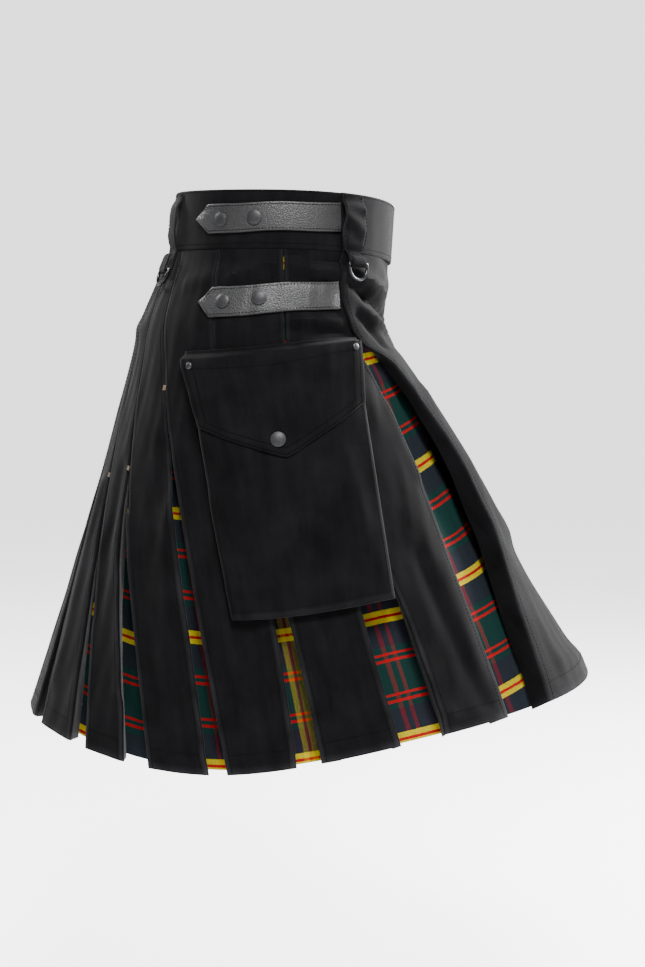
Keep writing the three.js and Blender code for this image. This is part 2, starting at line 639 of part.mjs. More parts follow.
// Straps and their snap caps. The left waist strap starts on the band's outer wrap.
const WAIST_STRAP = { fore: 63.7, aft: 121.9, tip: 129.3, foreDown: 27, aftDown: 32 };
const HIP_STRAP = { fore: 65.8, aft: 116.6, tip: 121.7, foreDown: 112, aftDown: 120 };
const WAIST_SEAT = 0.4;
const HIP_SEAT = 0.7;
const rightSeat = (angle) => WAIST_SEAT + bandFace(angle);
const leftSeat = (angle) => WAIST_SEAT + bandFace(-angle);
const hipSeat = () => HIP_SEAT;
add('waist_strap_right', strapGeometry({ ...WAIST_STRAP, seat: rightSeat }), leather);
add('waist_strap_left', mirrored(strapGeometry({ ...WAIST_STRAP, seat: leftSeat })), leather);
addPair('hip_strap', strapGeometry({ ...HIP_STRAP, seat: hipSeat }), leather);
const SNAPS = [
  ['waist_snap_1', 99.9, 31, WAIST_SEAT], ['waist_snap_2', 114.9, 33, WAIST_SEAT],
  ['hip_snap_1', 97.3, 116, HIP_SEAT], ['hip_snap_2', 111.1, 119, HIP_SEAT]];
for (const [name, angle, down, seat] of SNAPS) {
  addPair(name, capGeometry(SNAP_PROFILE, angle, down, seat + LEATHER + SEAM_GAP), steel);
}

addPair('pocket', pocketGeometry(), drill);
addPair('pocket_flap', flapGeometry(), drill);
const onFlap = FLAP_FACE + SEAM_GAP;
addPair('pocket_snap', capGeometry(SNAP_PROFILE, 89.9, 269, onFlap), steel);

const FRONT_LOOP = { angle: 58, base: BAND_LAP + 0.6, bar: 77 };
const BACK_LOOP = { angle: 149.5, base: 0.2, bar: 88 };
for (const [name, loop] of [['front', FRONT_LOOP], ['back', BACK_LOOP]]) {
  addPair(`loop_${name}`, loopGeometry(loop), drill);
  addPair(`ring_${name}`, ringGeometry(loop), steel);
}

export default group;
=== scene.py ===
# %% [markdown]
# # Hybrid utility kilt
# A knee-length kilt in black cotton drill, with tartan set into the backs of its pleats, a flat
# apron at the front, cargo pockets on the hips, and leather straps closed by snaps. It is shown
# as worn, with nobody in it: the waist and the hem are open.
#
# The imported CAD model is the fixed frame. Every cloth piece is made again here as a thin shell
# on the same form, with finer folds, creases, a weave and its sewing.

# %% Start
import bpy
import math
import numpy as np
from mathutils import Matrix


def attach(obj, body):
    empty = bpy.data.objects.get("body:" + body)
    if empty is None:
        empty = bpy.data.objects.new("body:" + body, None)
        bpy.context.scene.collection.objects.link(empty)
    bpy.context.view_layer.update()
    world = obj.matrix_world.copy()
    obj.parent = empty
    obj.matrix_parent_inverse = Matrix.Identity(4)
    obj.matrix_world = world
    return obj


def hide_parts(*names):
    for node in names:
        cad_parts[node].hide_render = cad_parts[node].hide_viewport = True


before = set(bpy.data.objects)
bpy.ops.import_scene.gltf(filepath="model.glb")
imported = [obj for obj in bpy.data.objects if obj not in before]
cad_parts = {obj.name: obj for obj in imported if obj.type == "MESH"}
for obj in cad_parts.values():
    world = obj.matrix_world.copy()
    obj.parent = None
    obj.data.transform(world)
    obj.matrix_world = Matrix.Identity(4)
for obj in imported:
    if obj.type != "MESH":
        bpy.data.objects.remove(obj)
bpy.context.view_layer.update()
print("CAD nodes:", len(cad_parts))

# %% [markdown]
# ## Camera
# The photograph looks at the wearer's right side, level with the waist and tipped down a few
# degrees, from a little under two metres.

# %% Camera
camera = bpy.data.objects.new("camera", bpy.data.cameras.new("camera"))
bpy.context.scene.collection.objects.link(camera)
camera.location = (-1.8544, -0.0454, -0.1854)
camera.rotation_euler = (math.radians(85.8), 0, math.radians(-90))
camera.data.lens = 60.12
camera.data.sensor_width = 36
bpy.context.scene.camera = camera

# %% [markdown]
# ## The form
# A kilt is one long strip of cloth shaped over the hips. Places on it are given as an angle
# round the body from the front, a length of cloth down from the waist, and a lift out from the
# cloth's face, so each piece can be drawn as on the flat and then laid on the body. The table
# gives the body's reach and the drop of the cloth at five angles; smooth curves join its rows.

# %% The form's table, in millimetres
# each row: cloth down from the waist, then reach and drop at 0, 45, 90, 135 and 180 degrees
HEM = 610            # length of cloth from the waist's edge
BAND_HEIGHT = 64
CLOTH = 1.4          # one layer of drill or tartan
LAYER = 1.7          # one layer and the air beside it
SHUT = 0.25          # half the gap of a closed pleat
FOLD_TIGHT = 0.85    # radius of a pressed fold
SIDES = ((1, "right"), (-1, "left"))
FORM = np.array([
    [0, 124, 137, 146, 135, 120, 8, 5, 2, -2, -6],
    [64, 120, 136, 150, 138, 129, 71, 68, 64, 62, 59],
    [110, 117, 138, 158, 154, 148, 115, 112, 110, 109, 104],
    [150, 113, 140, 166, 168, 164, 150, 146, 149, 150, 145],
    [180, 129, 150, 170, 174, 172, 167, 168, 178, 186, 178],
    [400, 239, 236, 211, 216, 230, 357, 362, 391, 392, 378],
    [610, 350, 319, 252, 257, 292, 533, 547, 594, 596, 572]], float)
print("rows in the form's table:", len(FORM))


# %% Smooth curves through a table
def curve(xs, ys):
    """A smooth curve through a table's column that never overshoots a row."""
    xs, ys = np.array(xs, float), np.array(ys, float)
    h = np.diff(xs)
    d = np.diff(ys) / h
    m = np.zeros(len(xs))
    for i in range(1, len(h)):
        if d[i - 1] * d[i] > 0:
            a, b = 2 * h[i] + h[i - 1], h[i] + 2 * h[i - 1]
            m[i] = (a + b) / (a / d[i - 1] + b / d[i])
    for end, i, j in ((0, 0, 1), (-1, -1, -2)):
        slope = ((2 * h[i] + h[j]) * d[i] - h[i] * d[j]) / (h[i] + h[j])
        if slope * d[i] <= 0:
            slope = 0
        elif d[i] * d[j] < 0 and abs(slope) > 3 * abs(d[i]):
            slope = 3 * d[i]
        m[end] = slope

    def at_x(x):
        x = np.clip(np.asarray(x, float), xs[0], xs[-1])
        i = np.clip(np.searchsorted(xs, x, side="right") - 1, 0, len(h) - 1)
        t = (x - xs[i]) / h[i]
        return ((2 * t**3 - 3 * t**2 + 1) * ys[i] + (t**3 - 2 * t**2 + t) * h[i] * m[i]
                + (3 * t**2 - 2 * t**3) * ys[i + 1] + (t**3 - t**2) * h[i] * m[i + 1])
    return at_x


REACH = [curve(FORM[:, 0], FORM[:, 1 + i]) for i in range(5)]
DROP = [curve(FORM[:, 0], FORM[:, 6 + i]) for i in range(5)]
# round the body the five angles are joined by five cosine waves
WAVES = np.array([[(1 if k in (0, 4) else 2) * (1 if j in (0, 4) else 2)
                   * math.cos(k * math.radians(45 * j)) / 8 for k in range(5)] for j in range(5)])


def smoothstep(x, low, high):
    t = np.clip((np.asarray(x, float) - low) / (high - low), 0, 1)
    return t * t * (3 - 2 * t)


def lerp(a, b, t):
    return a + (b - a) * t


# %% The cloth's face, and places on it
def face(angle, down):
    angle, down = np.broadcast_arrays(np.asarray(angle, float), np.asarray(down, float))
    turn = np.radians(angle)
    weights = np.stack([np.cos(k * turn) for k in range(5)], -1) @ WAVES.T
    reach = sum(weights[..., i] * REACH[i](down) for i in range(5))
    drop = sum(weights[..., i] * DROP[i](down) for i in range(5))
    return np.stack([-reach * np.sin(turn), -reach * np.cos(turn), -drop], -1)


def outward(angle, down):
    """The direction straight out of the cloth."""
    down = np.asarray(down, float)
    across = face(angle + 1, down) - face(angle - 1, down)
    along = face(angle, np.minimum(down + 6, HEM)) - face(angle, np.maximum(down - 6, 0))
    n = np.cross(across, along)
    return n / np.linalg.norm(n, axis=-1, keepdims=True)


def per_degree(angle, down):
    """Millimetres of cloth to one degree."""
    return np.linalg.norm(face(angle + 0.5, down) - face(angle - 0.5, down), axis=-1)


for label, down in (("waist", 0), ("hem", HEM)):
    print(label, "round, mm:", round(float(per_degree(np.arange(360), down).sum())))

# %% [markdown]
# ## Creases
# Worn cloth pulls and slackens. The main creases are placed one by one, each as a soft ridge or
# trough between two places. All layers follow the same field, so a pleat and the inset below it
# move together and stay clear of each other. Angles below zero are the wearer's left.

# %% The creases
# from angle and place down, to angle and place down, half width and height in mm
CREASES = [
    # pulls in the fell, under the band and under the hip strap
    (66, 86, 92, 81, 6, 2.2), (64, 75, 86, 71, 4, -1.5), (95, 80, 109, 93, 5, 1.9),
    (68, 98, 84, 95, 5, -1.2),
    (108, 76, 116, 74, 4, -0.9), (66, 143, 86, 139, 6, 1.5), (63, 157, 88, 151, 7, -1.8),
    (64, 170, 82, 166, 6, 1.3), (92, 148, 110, 152, 6, 1.0), (118, 92, 132, 100, 7, 0.9),
    # the apron folds in where it leaves the band and swings out over the thigh
    (60, 98, 50, 112, 5, -3.4), (50, 112, 17, 140, 7, -4.4), (54, 88, 30, 104, 7, 2.8),
    (50, 132, 14, 168, 8, 2.9), (56, 134, 40, 176, 6, -2.6), (30, 84, 0, 92, 9, 1.2),
    (2, 118, -30, 108, 8, -1.6),
    (-8, 132, -36, 124, 8, 1.5), (-44, 100, -56, 112, 6, -1.6), (12, 170, -18, 182, 12, -1.5),
    # the same on the left side and the back, in their own sizes
    (-64, 80, -88, 84, 7, 1.3), (-94, 84, -110, 78, 6, -1.0), (-63, 150, -84, 145, 6, 1.5),
    (-62, 162, -90, 158, 5, -1.4), (-96, 152, -112, 146, 6, 1.1), (-120, 96, -134, 90, 7, 0.9),
    (158, 90, 178, 84, 7, 1.0), (-150, 92, -172, 96, 7, -0.9), (160, 150, -170, 146, 8, 1.1),
    # long soft runs in the skirt
    (70, 300, 60, 560, 14, 2.2), (52, 420, 46, 590, 11, -1.8), (48, 250, 44, 330, 9, 1.8),
    (98, 470, 92, 600, 13, -1.5), (110, 330, 104, 470, 12, 1.6), (118, 240, 112, 400, 10, -1.3),
    (126, 330, 120, 520, 12, 1.9), (131, 260, 127, 330, 8, -1.6), (140, 360, 134, 540, 10, 1.7),
    (150, 300, 146, 470, 9, -1.3), (162, 330, 158, 560, 10, 1.5), (176, 300, 174, 520, 9, -1.2),
    (20, 250, 10, 420, 18, 2.6), (4, 330, -2, 560, 16, -2.4), (-16, 260, -14, 480, 18, 2.2),
    (-40, 300, -38, 560, 12, -1.6), (-58, 280, -52, 520, 13, 1.8), (-82, 470, -78, 600, 12, 1.5),
    (-98, 480, -94, 600, 11, -1.5), (-112, 260, -106, 440, 11, 1.6), (-126, 340, -119, 560, 12, -1.7),
    (-142, 300, -134, 500, 10, 1.5), (-158, 330, -152, 540, 10, -1.3), (-172, 280, -168, 500, 9, 1.4),
    # where a lower edge was once pressed and stands a little proud
    (64, 588, 54, 592, 9, 1.6), (92, 584, 82, 588, 9, -1.5), (116, 590, 108, 590, 9, 1.5),
    (-60, 588, -50, 590, 9, 1.5), (-100, 588, -88, 590, 9, -1.4), (22, 575, 4, 590, 14, 1.8),
]
print("creases:", len(CREASES))

# %% The creases as a field
CREASE_GAIN = 2.0
BACK_DEGREE = 2.6    # mm to a degree for the crease that crosses the middle of the back


def creased(angle, down):
    """How far the listed creases lift the cloth, in mm, at signed angles."""
    angle = (np.asarray(angle, float) + 180) % 360 - 180
    angle, down = np.broadcast_arrays(angle, np.asarray(down, float))
    lift = np.zeros(angle.shape)
    for a0, d0, a1, d1, width, height in CREASES:
        k = float(per_degree((a0 + a1) / 2, (d0 + d1) / 2)) if abs(a1 - a0) < 180 else BACK_DEGREE
        span = (a1 - a0 + 180) % 360 - 180
        px, py = ((angle - a0 + 180) % 360 - 180) * k, down - d0
        sx, sy = span * k, d1 - d0
        t = np.clip((px * sx + py * sy) / (sx * sx + sy * sy), 0, 1)
        far2 = (px - t * sx) ** 2 + (py - t * sy) ** 2
        lift += CREASE_GAIN * height * np.exp(-far2 / width**2)
    # a slow unevenness, so that no large face is quite smooth
    slow = (np.sin(angle * 0.61 + down * 0.021) * np.sin(down * 0.037 - angle * 0.13)
            + 0.6 * np.sin(angle * 1.27 - down * 0.043 + 1.7) * np.sin(down * 0.019 + 0.5))
    return lift + 0.45 * slow * smoothstep(down, 60, 120)


def at(angle, down, lift, side=1):
    """Points in metres. side -1 is the wearer's left, mirrored."""
    n = outward(angle, down)
    points = face(angle, down) + n * (lift + creased(side * np.asarray(angle, float), down))[..., None]
    points = points / 1000
    points[..., 0] *= side
    return points


# %% [markdown]
# ## Pleats as sections
# Each pleat is an inverted box pleat: the drill is turned under on both sides of an opening and
# the tartan is sewn to the two returns. It could be folded from one long strip by a cloth
# simulation, but pressed pleats have sharp, regular folds that are better drawn. A section is the
# line that the cloth follows round the body at one height, as [angle, lift] points. All rows are
# worked out at once.

# %% Pleat openings
# the fold's radius where it opens, its curl, the widest return, and rows of down, fore edge's
# angle, aft edge's angle
OPENINGS = {
    "p1": (4, 7, 34, [
        [64, 58.5, 58.5], [140, 58.2, 58.2], [178, 57.2, 57.6], [198, 53, 54.6], [225, 45.5, 50],
        [260, 39, 46.3], [300, 33.5, 43.9], [345, 29, 42.3], [400, 28, 41.7], [450, 30, 41.6],
        [520, 32.5, 41.2], [610, 33, 41.4]]),
    "q1": (2.5, 0, 30, [
        [64, 58.5, 58.5], [140, 58.2, 58.2], [178, 57.2, 57.2], [225, 49.6, 51.6], [260, 45.2, 48.4],
        [300, 42.1, 46.3], [345, 39.4, 44.6], [400, 37.6, 43.4], [520, 36, 42.4], [610, 36.4, 43.2]]),
    "p2": (2.5, 0, 30, [
        [64, 88, 88.4], [178, 86.9, 87.5], [250, 78, 80.2], [320, 70.5, 75], [400, 63.8, 71.4],
        [500, 58.4, 67.9], [610, 56, 64.4]]),
    "p3": (2, 0, 30, [
        [64, 117.2, 117.2], [178, 112.9, 112.9], [250, 104, 105.4], [320, 97, 99.3],
        [400, 91, 94.2], [500, 84.9, 89.2], [610, 80.4, 85.8]]),
    "p4": (2, 0, 30, [
        [64, 143, 143], [120, 141, 141], [180, 135.5, 135.5], [250, 129.3, 129.9],
        [320, 122.9, 125.1], [400, 116.7, 119.9], [500, 109.5, 113.4], [610, 102.4, 107.2]]),
    "p5": (2, 0, 30, [
        [64, 155, 155], [180, 151, 151], [250, 147.8, 148.2], [320, 143.6, 146], [400, 138, 142.5],
        [500, 130.6, 135.6], [610, 123.5, 130.4]]),
    "p6": (2, 0, 30, [
        [64, 165, 165], [180, 162, 162], [250, 160.2, 160.6], [320, 157, 158.2],
        [400, 152.4, 154.4], [500, 147, 150.6], [610, 141.8, 147.2]]),
    "p7": (2, 0, 30, [
        [64, 173, 173], [180, 171.2, 171.2], [250, 170.2, 170.6], [320, 168.2, 169.2],
        [400, 165.8, 167.4], [500, 162.6, 165.6], [610, 160, 164.5]]),
    "p8": (2, 0, 30, [
        [64, 180, 180], [180, 180, 180], [250, 179.8, 180.2], [320, 179.5, 180.5],
        [400, 179, 181], [500, 178.4, 181.6], [610, 177.7, 182.3]]),
}
RIGHT = ["p1", "p2", "p3", "p4", "p5", "p6", "p7", "p8"]
LEFT = ["q1"] + RIGHT[1:]


print("pleat openings:", len(RIGHT) + len(LEFT) - 1)


# %% One opening, and the return folded under beside it
def opening(name, down):
    """The opening's middle, half gap and fold at every row."""
    fold, curl, most, rows = OPENINGS[name]
    rows = np.array(rows)
    fore = curve(rows[:, 0], rows[:, 1])(down)
    aft = np.maximum(curve(rows[:, 0], rows[:, 2])(down), fore)
    middle = (fore + aft) / 2
    mm = per_degree(middle, down)
    return dict(middle=middle, mm=mm, gap=np.maximum((aft - fore) * mm / 2, SHUT), most=most,
                fold=lerp(FOLD_TIGHT, fold, smoothstep(down, 200, 420)), curl=curl)


def panel_width(fore_name, aft_name, down):
    """Millimetres between two openings."""
    fore, aft = opening(fore_name, down), opening(aft_name, down)
    mm = per_degree((fore["middle"] + aft["middle"]) / 2, down)
    return (aft["middle"] - fore["middle"]) * mm - fore["gap"] - aft["gap"]


BETWEEN = 1.8    # half the room left between two pleats' returns


def pleat(name, down):
    """An opening with its returns' reach and depth, short enough to leave the next pleat room."""
    here = opening(name, down)
    i = RIGHT.index(name) if name in RIGHT else 0
    beside = []
    if i > 0:
        beside.append(panel_width(RIGHT[i - 1], name, down))
    if i < len(RIGHT) - 1:
        beside.append(panel_width(name, RIGHT[i + 1], down))
    half = np.minimum(here["most"], np.min(beside, 0) / 2 + here["gap"] - BETWEEN)
    run = np.maximum(half - here["gap"], 0)
    depth = np.sqrt((LAYER + CLOTH / 2) ** 2 + half**2 - run**2)
    return dict(here, half=half, depth=depth)


# %% Turned edges, panels and insets
BACK, BEND = 5, 7    # points on a return and round its fold
SEWN_IN = 3.6        # the edge seam's distance from the fold
INSET_GAP = 0.8      # air between the returns and the inset
INSET_PAST = 1       # how far the inset reaches past the returns' ends


def turned_edge(p):
    """The return from its sewn edge to the fold, and round it, in mm from the opening's middle."""
    r, h = p["fold"], CLOTH / 2
    centre = np.stack([p["gap"] + h + r, -(h + r)], -1)
    end = np.stack([p["half"], -p["depth"]], -1)
    slope = np.zeros_like(r)
    for _ in range(6):
        leave = centre - r[:, None] * np.stack([np.sin(slope), np.cos(slope)], -1)
        slope = np.arctan2(leave[:, 1] - end[:, 1], end[:, 0] - leave[:, 0])
    t = np.linspace(0, 1, BACK, endpoint=False)[:, None]
    turned_under = end[:, None] + (leave - end)[:, None] * t
    turn = np.linspace(1.5 * np.pi - slope, np.full_like(slope, np.pi / 2), BEND).T
    arc = centre[:, None] + r[:, None, None] * np.stack([np.cos(turn), np.sin(turn)], -1)
    return slope, np.concatenate([turned_under, arc], 1)


def on_angles(line, middle, mm, sign):
    """A line in mm from an opening's middle, turned into angles. sign 1 is aft of it."""
    out = line.copy()
    out[..., 0] = middle[:, None] + sign * line[..., 0] / mm[:, None]
    return out


# %% A panel's section, and an inset's
def panel_line(fore_name, aft_name, down, columns):
    """A panel with a return at both sides; columns is the number of points across its face."""
    fore, aft = pleat(fore_name, down), pleat(aft_name, down)
    first = on_angles(turned_edge(fore)[1], fore["middle"], fore["mm"], 1)
    last = on_angles(turned_edge(aft)[1], aft["middle"], aft["mm"], -1)
    curl = fore["curl"] * smoothstep(down, 185, 260)
    share = np.concatenate([np.linspace(0, 1, BACK, endpoint=False), np.ones(BEND)])
    first[..., 1] -= curl[:, None] * share
    start, stop = first[:, -1, 0], last[:, -1, 0]
    middle = (start + stop) / 2
    mm = per_degree(middle, down)
    width = (stop - start) * mm
    # a hanging panel is flatter than the body is round, so its middle dips in
    reach = np.linalg.norm(face(middle, down)[:, :2], axis=-1)
    dip = width**2 / (8 * reach) * 0.75 * smoothstep(down, 190, 420)
    edge = (SEWN_IN / width)[:, None]
    t = edge + (1 - 2 * edge) * np.linspace(0, 1, columns)
    lift = (-CLOTH / 2 - dip[:, None] * 4 * t * (1 - t)
            - curl[:, None] * np.maximum(0, 1 - t * 3) ** 2)
    between = np.stack([start[:, None] + (stop - start)[:, None] * t, lift], -1)
    return mm, np.concatenate([first, between, last[:, ::-1]], 1)


def inset_lift(here):
    cover = CLOTH / 2 * np.cos(turned_edge(here)[0])
    return -(here["depth"] + cover + INSET_GAP + CLOTH / 2)


def inset_line(name, down):
    """The tartan strip behind an opening, from one return's end past the other's."""
    here = pleat(name, down)
    t = np.linspace(-1, 1, 15)
    angle = here["middle"][:, None] + t * ((here["half"] + INSET_PAST) / here["mm"])[:, None]
    lift = np.repeat(inset_lift(here)[:, None], len(t), 1)
    return here["mm"], np.stack([angle, lift], -1)


# %% [markdown]
# ## Aprons as sections
# The outer apron's free edge runs down from the band, swings forward over the thigh and rolls
# under, with a facing behind the roll. The first right inset runs on behind that edge, so that
# tartan fills the whole swing, and the under apron is sewn to the inset's fore end.

# %% The apron's free edge: rows of down, angle and flare
APRON_EDGE = np.array([
    [64, 63.2, 0], [110, 64.6, 0], [140, 62, 0], [163, 58.6, 0], [178, 54, 2], [186, 48, 3],
    [198, 41.5, 4], [225, 34, 4], [260, 28.5, 4.5], [300, 24.3, 7], [345, 21.5, 9],
    [400, 20.8, 8], [450, 23.5, 4], [500, 27, 1], [550, 29.2, 0], [610, 32, 0]])
EDGE_ROLL = 4                # radius of the free edge where it swings open
LAP = 2 * LAYER + 0.35       # the apron lies over the band's end and the first pleat here
apron_edge = curve(APRON_EDGE[:, 0], APRON_EDGE[:, 1])
apron_flare = curve(APRON_EDGE[:, 0], APRON_EDGE[:, 2])


def facing(down):
    """Width of the facing that is turned under at the free edge."""
    return lerp(8, 20, smoothstep(down, 230, 430))


def apron_line(down):
    """The outer apron from its sewn left end to the facing behind its free edge."""
    edge, flare = apron_edge(down), apron_flare(down)
    mm = per_degree(edge, down)
    over = LAP * (1 - smoothstep(down, 160, 186))
    roll = lerp(FOLD_TIGHT, EDGE_ROLL, smoothstep(down, 170, 215))
    slope = math.radians(88) * smoothstep(down, 172, 205)
    turned = lerp(20, facing(down), smoothstep(down, 163, 178))
    centre = -(CLOTH / 2 + roll)
    turn = np.linspace(np.full_like(slope, np.pi / 2), slope - np.pi / 2, 9).T
    arc = np.stack([centre[:, None] + roll[:, None] * np.cos(turn),
                    centre[:, None] + roll[:, None] * np.sin(turn)], -1)
    t = np.linspace(0, 1, 6)[1:]
    under = np.stack([arc[:, -1:, 0] - (turned * np.cos(slope))[:, None] * t,
                      arc[:, -1:, 1] - (turned * np.sin(slope))[:, None] * t], -1)
    # the free edge, lifted over what it laps and by its flare
    rolled = on_angles(np.concatenate([arc, under], 1), edge, mm, 1)
    rolled[..., 1] += (over + flare)[:, None]
    # the sewn end, turned under like a panel's
    sewn = pleat("q1", down)
    left = on_angles(turned_edge(sewn)[1], -sewn["middle"], sewn["mm"], 1)
    start, stop = left[:, -1, 0], rolled[:, 0, 0]
    t = np.concatenate([[0.012], np.linspace(0.03, 0.96, 72), [0.985]])
    angle = start[:, None] + (stop - start)[:, None] * t
    # the flare eases in from the apron's middle
    low = np.minimum(0, edge - 40)[:, None]
    ease = np.clip((angle - low) / (edge[:, None] - low), 0, 1)
    flared = flare[:, None] * ease * ease * (3 - 2 * ease)
    lift = -CLOTH / 2 + over[:, None] * smoothstep(angle, 20, 44) + flared
    return per_degree(0, down), np.concatenate([left, np.stack([angle, lift], -1), rolled], 1)


# %% The inset behind the free edge, and the under apron
def forward_end(down):
    """Angle and lift of the first right inset's fore end."""
    here = pleat("p1", down)
    open_ = smoothstep(down, 172, 215)
    edge = apron_edge(down)
    behind = edge - (2 * EDGE_ROLL + 50) / per_degree(edge, down)
    below = apron_flare(down) - facing(down) - EDGE_ROLL - CLOTH - LAYER
    lift = inset_lift(here)
    return (lerp(here["middle"] - (here["half"] + INSET_PAST) / here["mm"], behind, open_),
            lerp(lift, np.minimum(below, lift + 6), open_))


def forward_inset_line(down):
    """The first right inset, from below the apron's facing to the first panel's return."""
    here = pleat("p1", down)
    fore_angle, fore_lift = forward_end(down)
    aft_angle = here["middle"] + (here["half"] + INSET_PAST) / here["mm"]
    t = np.linspace(0, 1, 30)
    angle = fore_angle[:, None] + (aft_angle - fore_angle)[:, None] * t
    lift = fore_lift[:, None] + (inset_lift(here) - fore_lift)[:, None] * t
    return here["mm"], np.stack([angle, lift], -1)


def under_apron_line(down):
    """The under apron, from the first right inset's fore end to the first left opening."""
    angle, lift = forward_end(down)
    start = angle - 0.45 / per_degree(angle, down)
    sewn = pleat("q1", down)
    stop = (sewn["half"] + 6) / sewn["mm"] - sewn["middle"]
    front = -(CLOTH / 2 + 2 * LAYER + 1.5)
    t = np.linspace(0, 1, 46)
    ease = smoothstep(t, 0, 0.45)
    angles = start[:, None] + (stop - start)[:, None] * t
    lifts = lift[:, None] + (front - lift)[:, None] * ease
    return per_degree(0, down), np.stack([angles, lifts], -1)[:, ::-1]


# %% [markdown]
# ## Materials
# Cotton drill is a steep twill: fine diagonal ribs, a little mottled and faded where it rubs, and painted
# pale along its folds, partly as scuffing and partly as a painted highlight.
# The tartan is a wool-look twill with one sett both ways, stronger across than along. Leather
# has a pebbled grain and a soft shine. Each effect is a node group with named inputs, so that
# several materials can use it, each with its own values.

# %% Node helpers
def put(tree, kind, settings=None, inputs=None):
    made = tree.nodes.new(kind)
    for key, value in (settings or {}).items():
        setattr(made, key, value)
    for key, value in (inputs or {}).items():
        if isinstance(value, bpy.types.NodeSocket):
            tree.links.new(value, made.inputs[key])
        else:
            made.inputs[key].default_value = value
    return made


def maths(tree, operation, a, b=0.0, clamp=False):
    settings = {"operation": operation, "use_clamp": clamp}
    return put(tree, "ShaderNodeMath", settings, {0: a, 1: b}).outputs[0]


def scaled(tree, value, by, plus):
    return maths(tree, "ADD", maths(tree, "MULTIPLY", value, by), plus)


def swing(tree, value, by):
    """A noise's swing about its middle."""
    return maths(tree, "MULTIPLY", maths(tree, "SUBTRACT", value, 0.5), by)


def noise(tree, place, scale, detail, roughness=0.5, output=0):
    return put(tree, "ShaderNodeTexNoise", inputs={
        "Vector": place, "Scale": scale, "Detail": detail, "Roughness": roughness}).outputs[output]


def longer(tree, vector, by):
    return put(tree, "ShaderNodeVectorMath", {"operation": "SCALE"}, {0: vector, "Scale": by}).outputs[0]


def mixed(tree, a, b, factor):
    return put(tree, "ShaderNodeMix", {"data_type": "RGBA"}, {0: factor, 6: a, 7: b}).outputs[2]


def new_group(name, inputs, outputs, kind="ShaderNodeTree"):
    tree = bpy.data.node_groups.new(name, kind)
    for label, sort, value in inputs:
        socket = tree.interface.new_socket(label, in_out="INPUT", socket_type=sort)
        if value is not None:
            socket.default_value = value
    for label, sort in outputs:
        tree.interface.new_socket(label, in_out="OUTPUT", socket_type=sort)
    return tree, tree.nodes.new("NodeGroupInput").outputs, tree.nodes.new("NodeGroupOutput").inputs


# %% What every surface group takes and gives
def surface_group(name, values):
    """Takes a place and named colours and numbers, and gives a colour, a roughness and a normal."""
    inputs = [("Place", "NodeSocketVector", None)]
    for label, value in values.items():
        inputs.append((label, "NodeSocketFloat" if isinstance(value, float) else "NodeSocketColor", value))
    return new_group(name, inputs, [
        ("Color", "NodeSocketColor"), ("Roughness", "NodeSocketFloat"), ("Normal", "NodeSocketVector")])


def give(tree, out, color, roughness, height, strength, distance):
    bump = put(tree, "ShaderNodeBump", inputs={
        "Strength": strength, "Distance": distance, "Height": height}).outputs[0]
    for label, value in (("Color", color), ("Roughness", roughness), ("Normal", bump)):
        tree.links.new(value, out[label])
    return tree


def rgb(r, g, b):
    """A screen colour, 0 to 255, as the linear value that a node takes."""
    return tuple(((c / 255 + 0.055) / 1.055) ** 2.4 if c > 10 else c / 3294 for c in (r, g, b)) + (1,)


FULL_TURN = 6.2832

# %% The drill's weave
tree, given, out = surface_group("Drill weave", {
    "Tone": (0.01, 0.01, 0.011, 1), "Faded": (0.05, 0.05, 0.053, 1), "Rib": 0.9,
    "Rubbed and highlit": (0.08, 0.08, 0.084, 1), "Wear and highlight": 0.0})
place = given["Place"]
split = put(tree, "ShaderNodeSeparateXYZ", inputs={0: place}).outputs
slant = scaled(tree, split["X"], 0.8, split["Y"])
rib = maths(tree, "SINE", maths(tree, "MULTIPLY", maths(tree, "DIVIDE", slant, given["Rib"]), FULL_TURN))
grain = noise(tree, place, 0.85, 3.0, 0.6)
stretch = put(tree, "ShaderNodeMapping", inputs={"Vector": place, "Scale": (0.09, 0.012, 0.05)}).outputs[0]
streak = noise(tree, stretch, 1.0, 4.0, 0.62)
cloud = noise(tree, place, 0.022, 3.0, 0.55)
fine_shade = maths(tree, "ADD", swing(tree, grain, 0.55), swing(tree, streak, 0.5))
amount = maths(tree, "ADD", fine_shade, maths(tree, "ADD", swing(tree, cloud, 0.6), 0.18), True)
patchy = maths(tree, "ADD", grain, swing(tree, cloud, 1.5))
# the paler colour along folds and rounded edges is partly scuffing and partly a painted highlight; at the hem
# and the pocket's foot it is scuffing
rubbed_and_highlit = maths(tree, "MULTIPLY", given["Wear and highlight"], maths(tree, "MULTIPLY", patchy, 1.6), True)
tone = mixed(tree, mixed(tree, given["Tone"], given["Faded"], amount), given["Rubbed and highlit"], rubbed_and_highlit)
height = maths(tree, "ADD", maths(tree, "MULTIPLY", rib, 0.35), maths(tree, "MULTIPLY", grain, 0.9))
DRILL_WEAVE = give(tree, out, tone, scaled(tree, grain, 0.16, 0.78), height, 0.5, 0.00022)

# %% [markdown]
# ## The tartan's sett
# A sett is a tartan's list of stripes. One list serves both ways of the cloth. It was charted by
# counting the photograph's bands: a yellow, red and yellow band, slate, then green crossed by two
# pairs of thin red lines. A colour ramp with hard steps holds the list, read once across and once
# down the cloth, and the twill's slant picks which of the two threads lies on top.

# %% The tartan
YELLOW, RED = rgb(178, 160, 0), rgb(150, 5, 14)
GREEN, SLATE = rgb(15, 41, 38), rgb(29, 28, 37)
SETT = [(YELLOW, 5.4), (RED, 2.8), (YELLOW, 5.4), (SLATE, 25.2), (GREEN, 7), (RED, 2.7), (GREEN, 4.2),
        (RED, 2.7), (GREEN, 33.8), (RED, 2.7), (GREEN, 4.2), (RED, 2.7), (GREEN, 7), (SLATE, 25.2)]
REPEAT = sum(width for _, width in SETT)
tree, given, out = surface_group("Tartan weave", {"Along share": 0.4, "Along light": 0.6, "Rib": 1.1})
place = given["Place"]


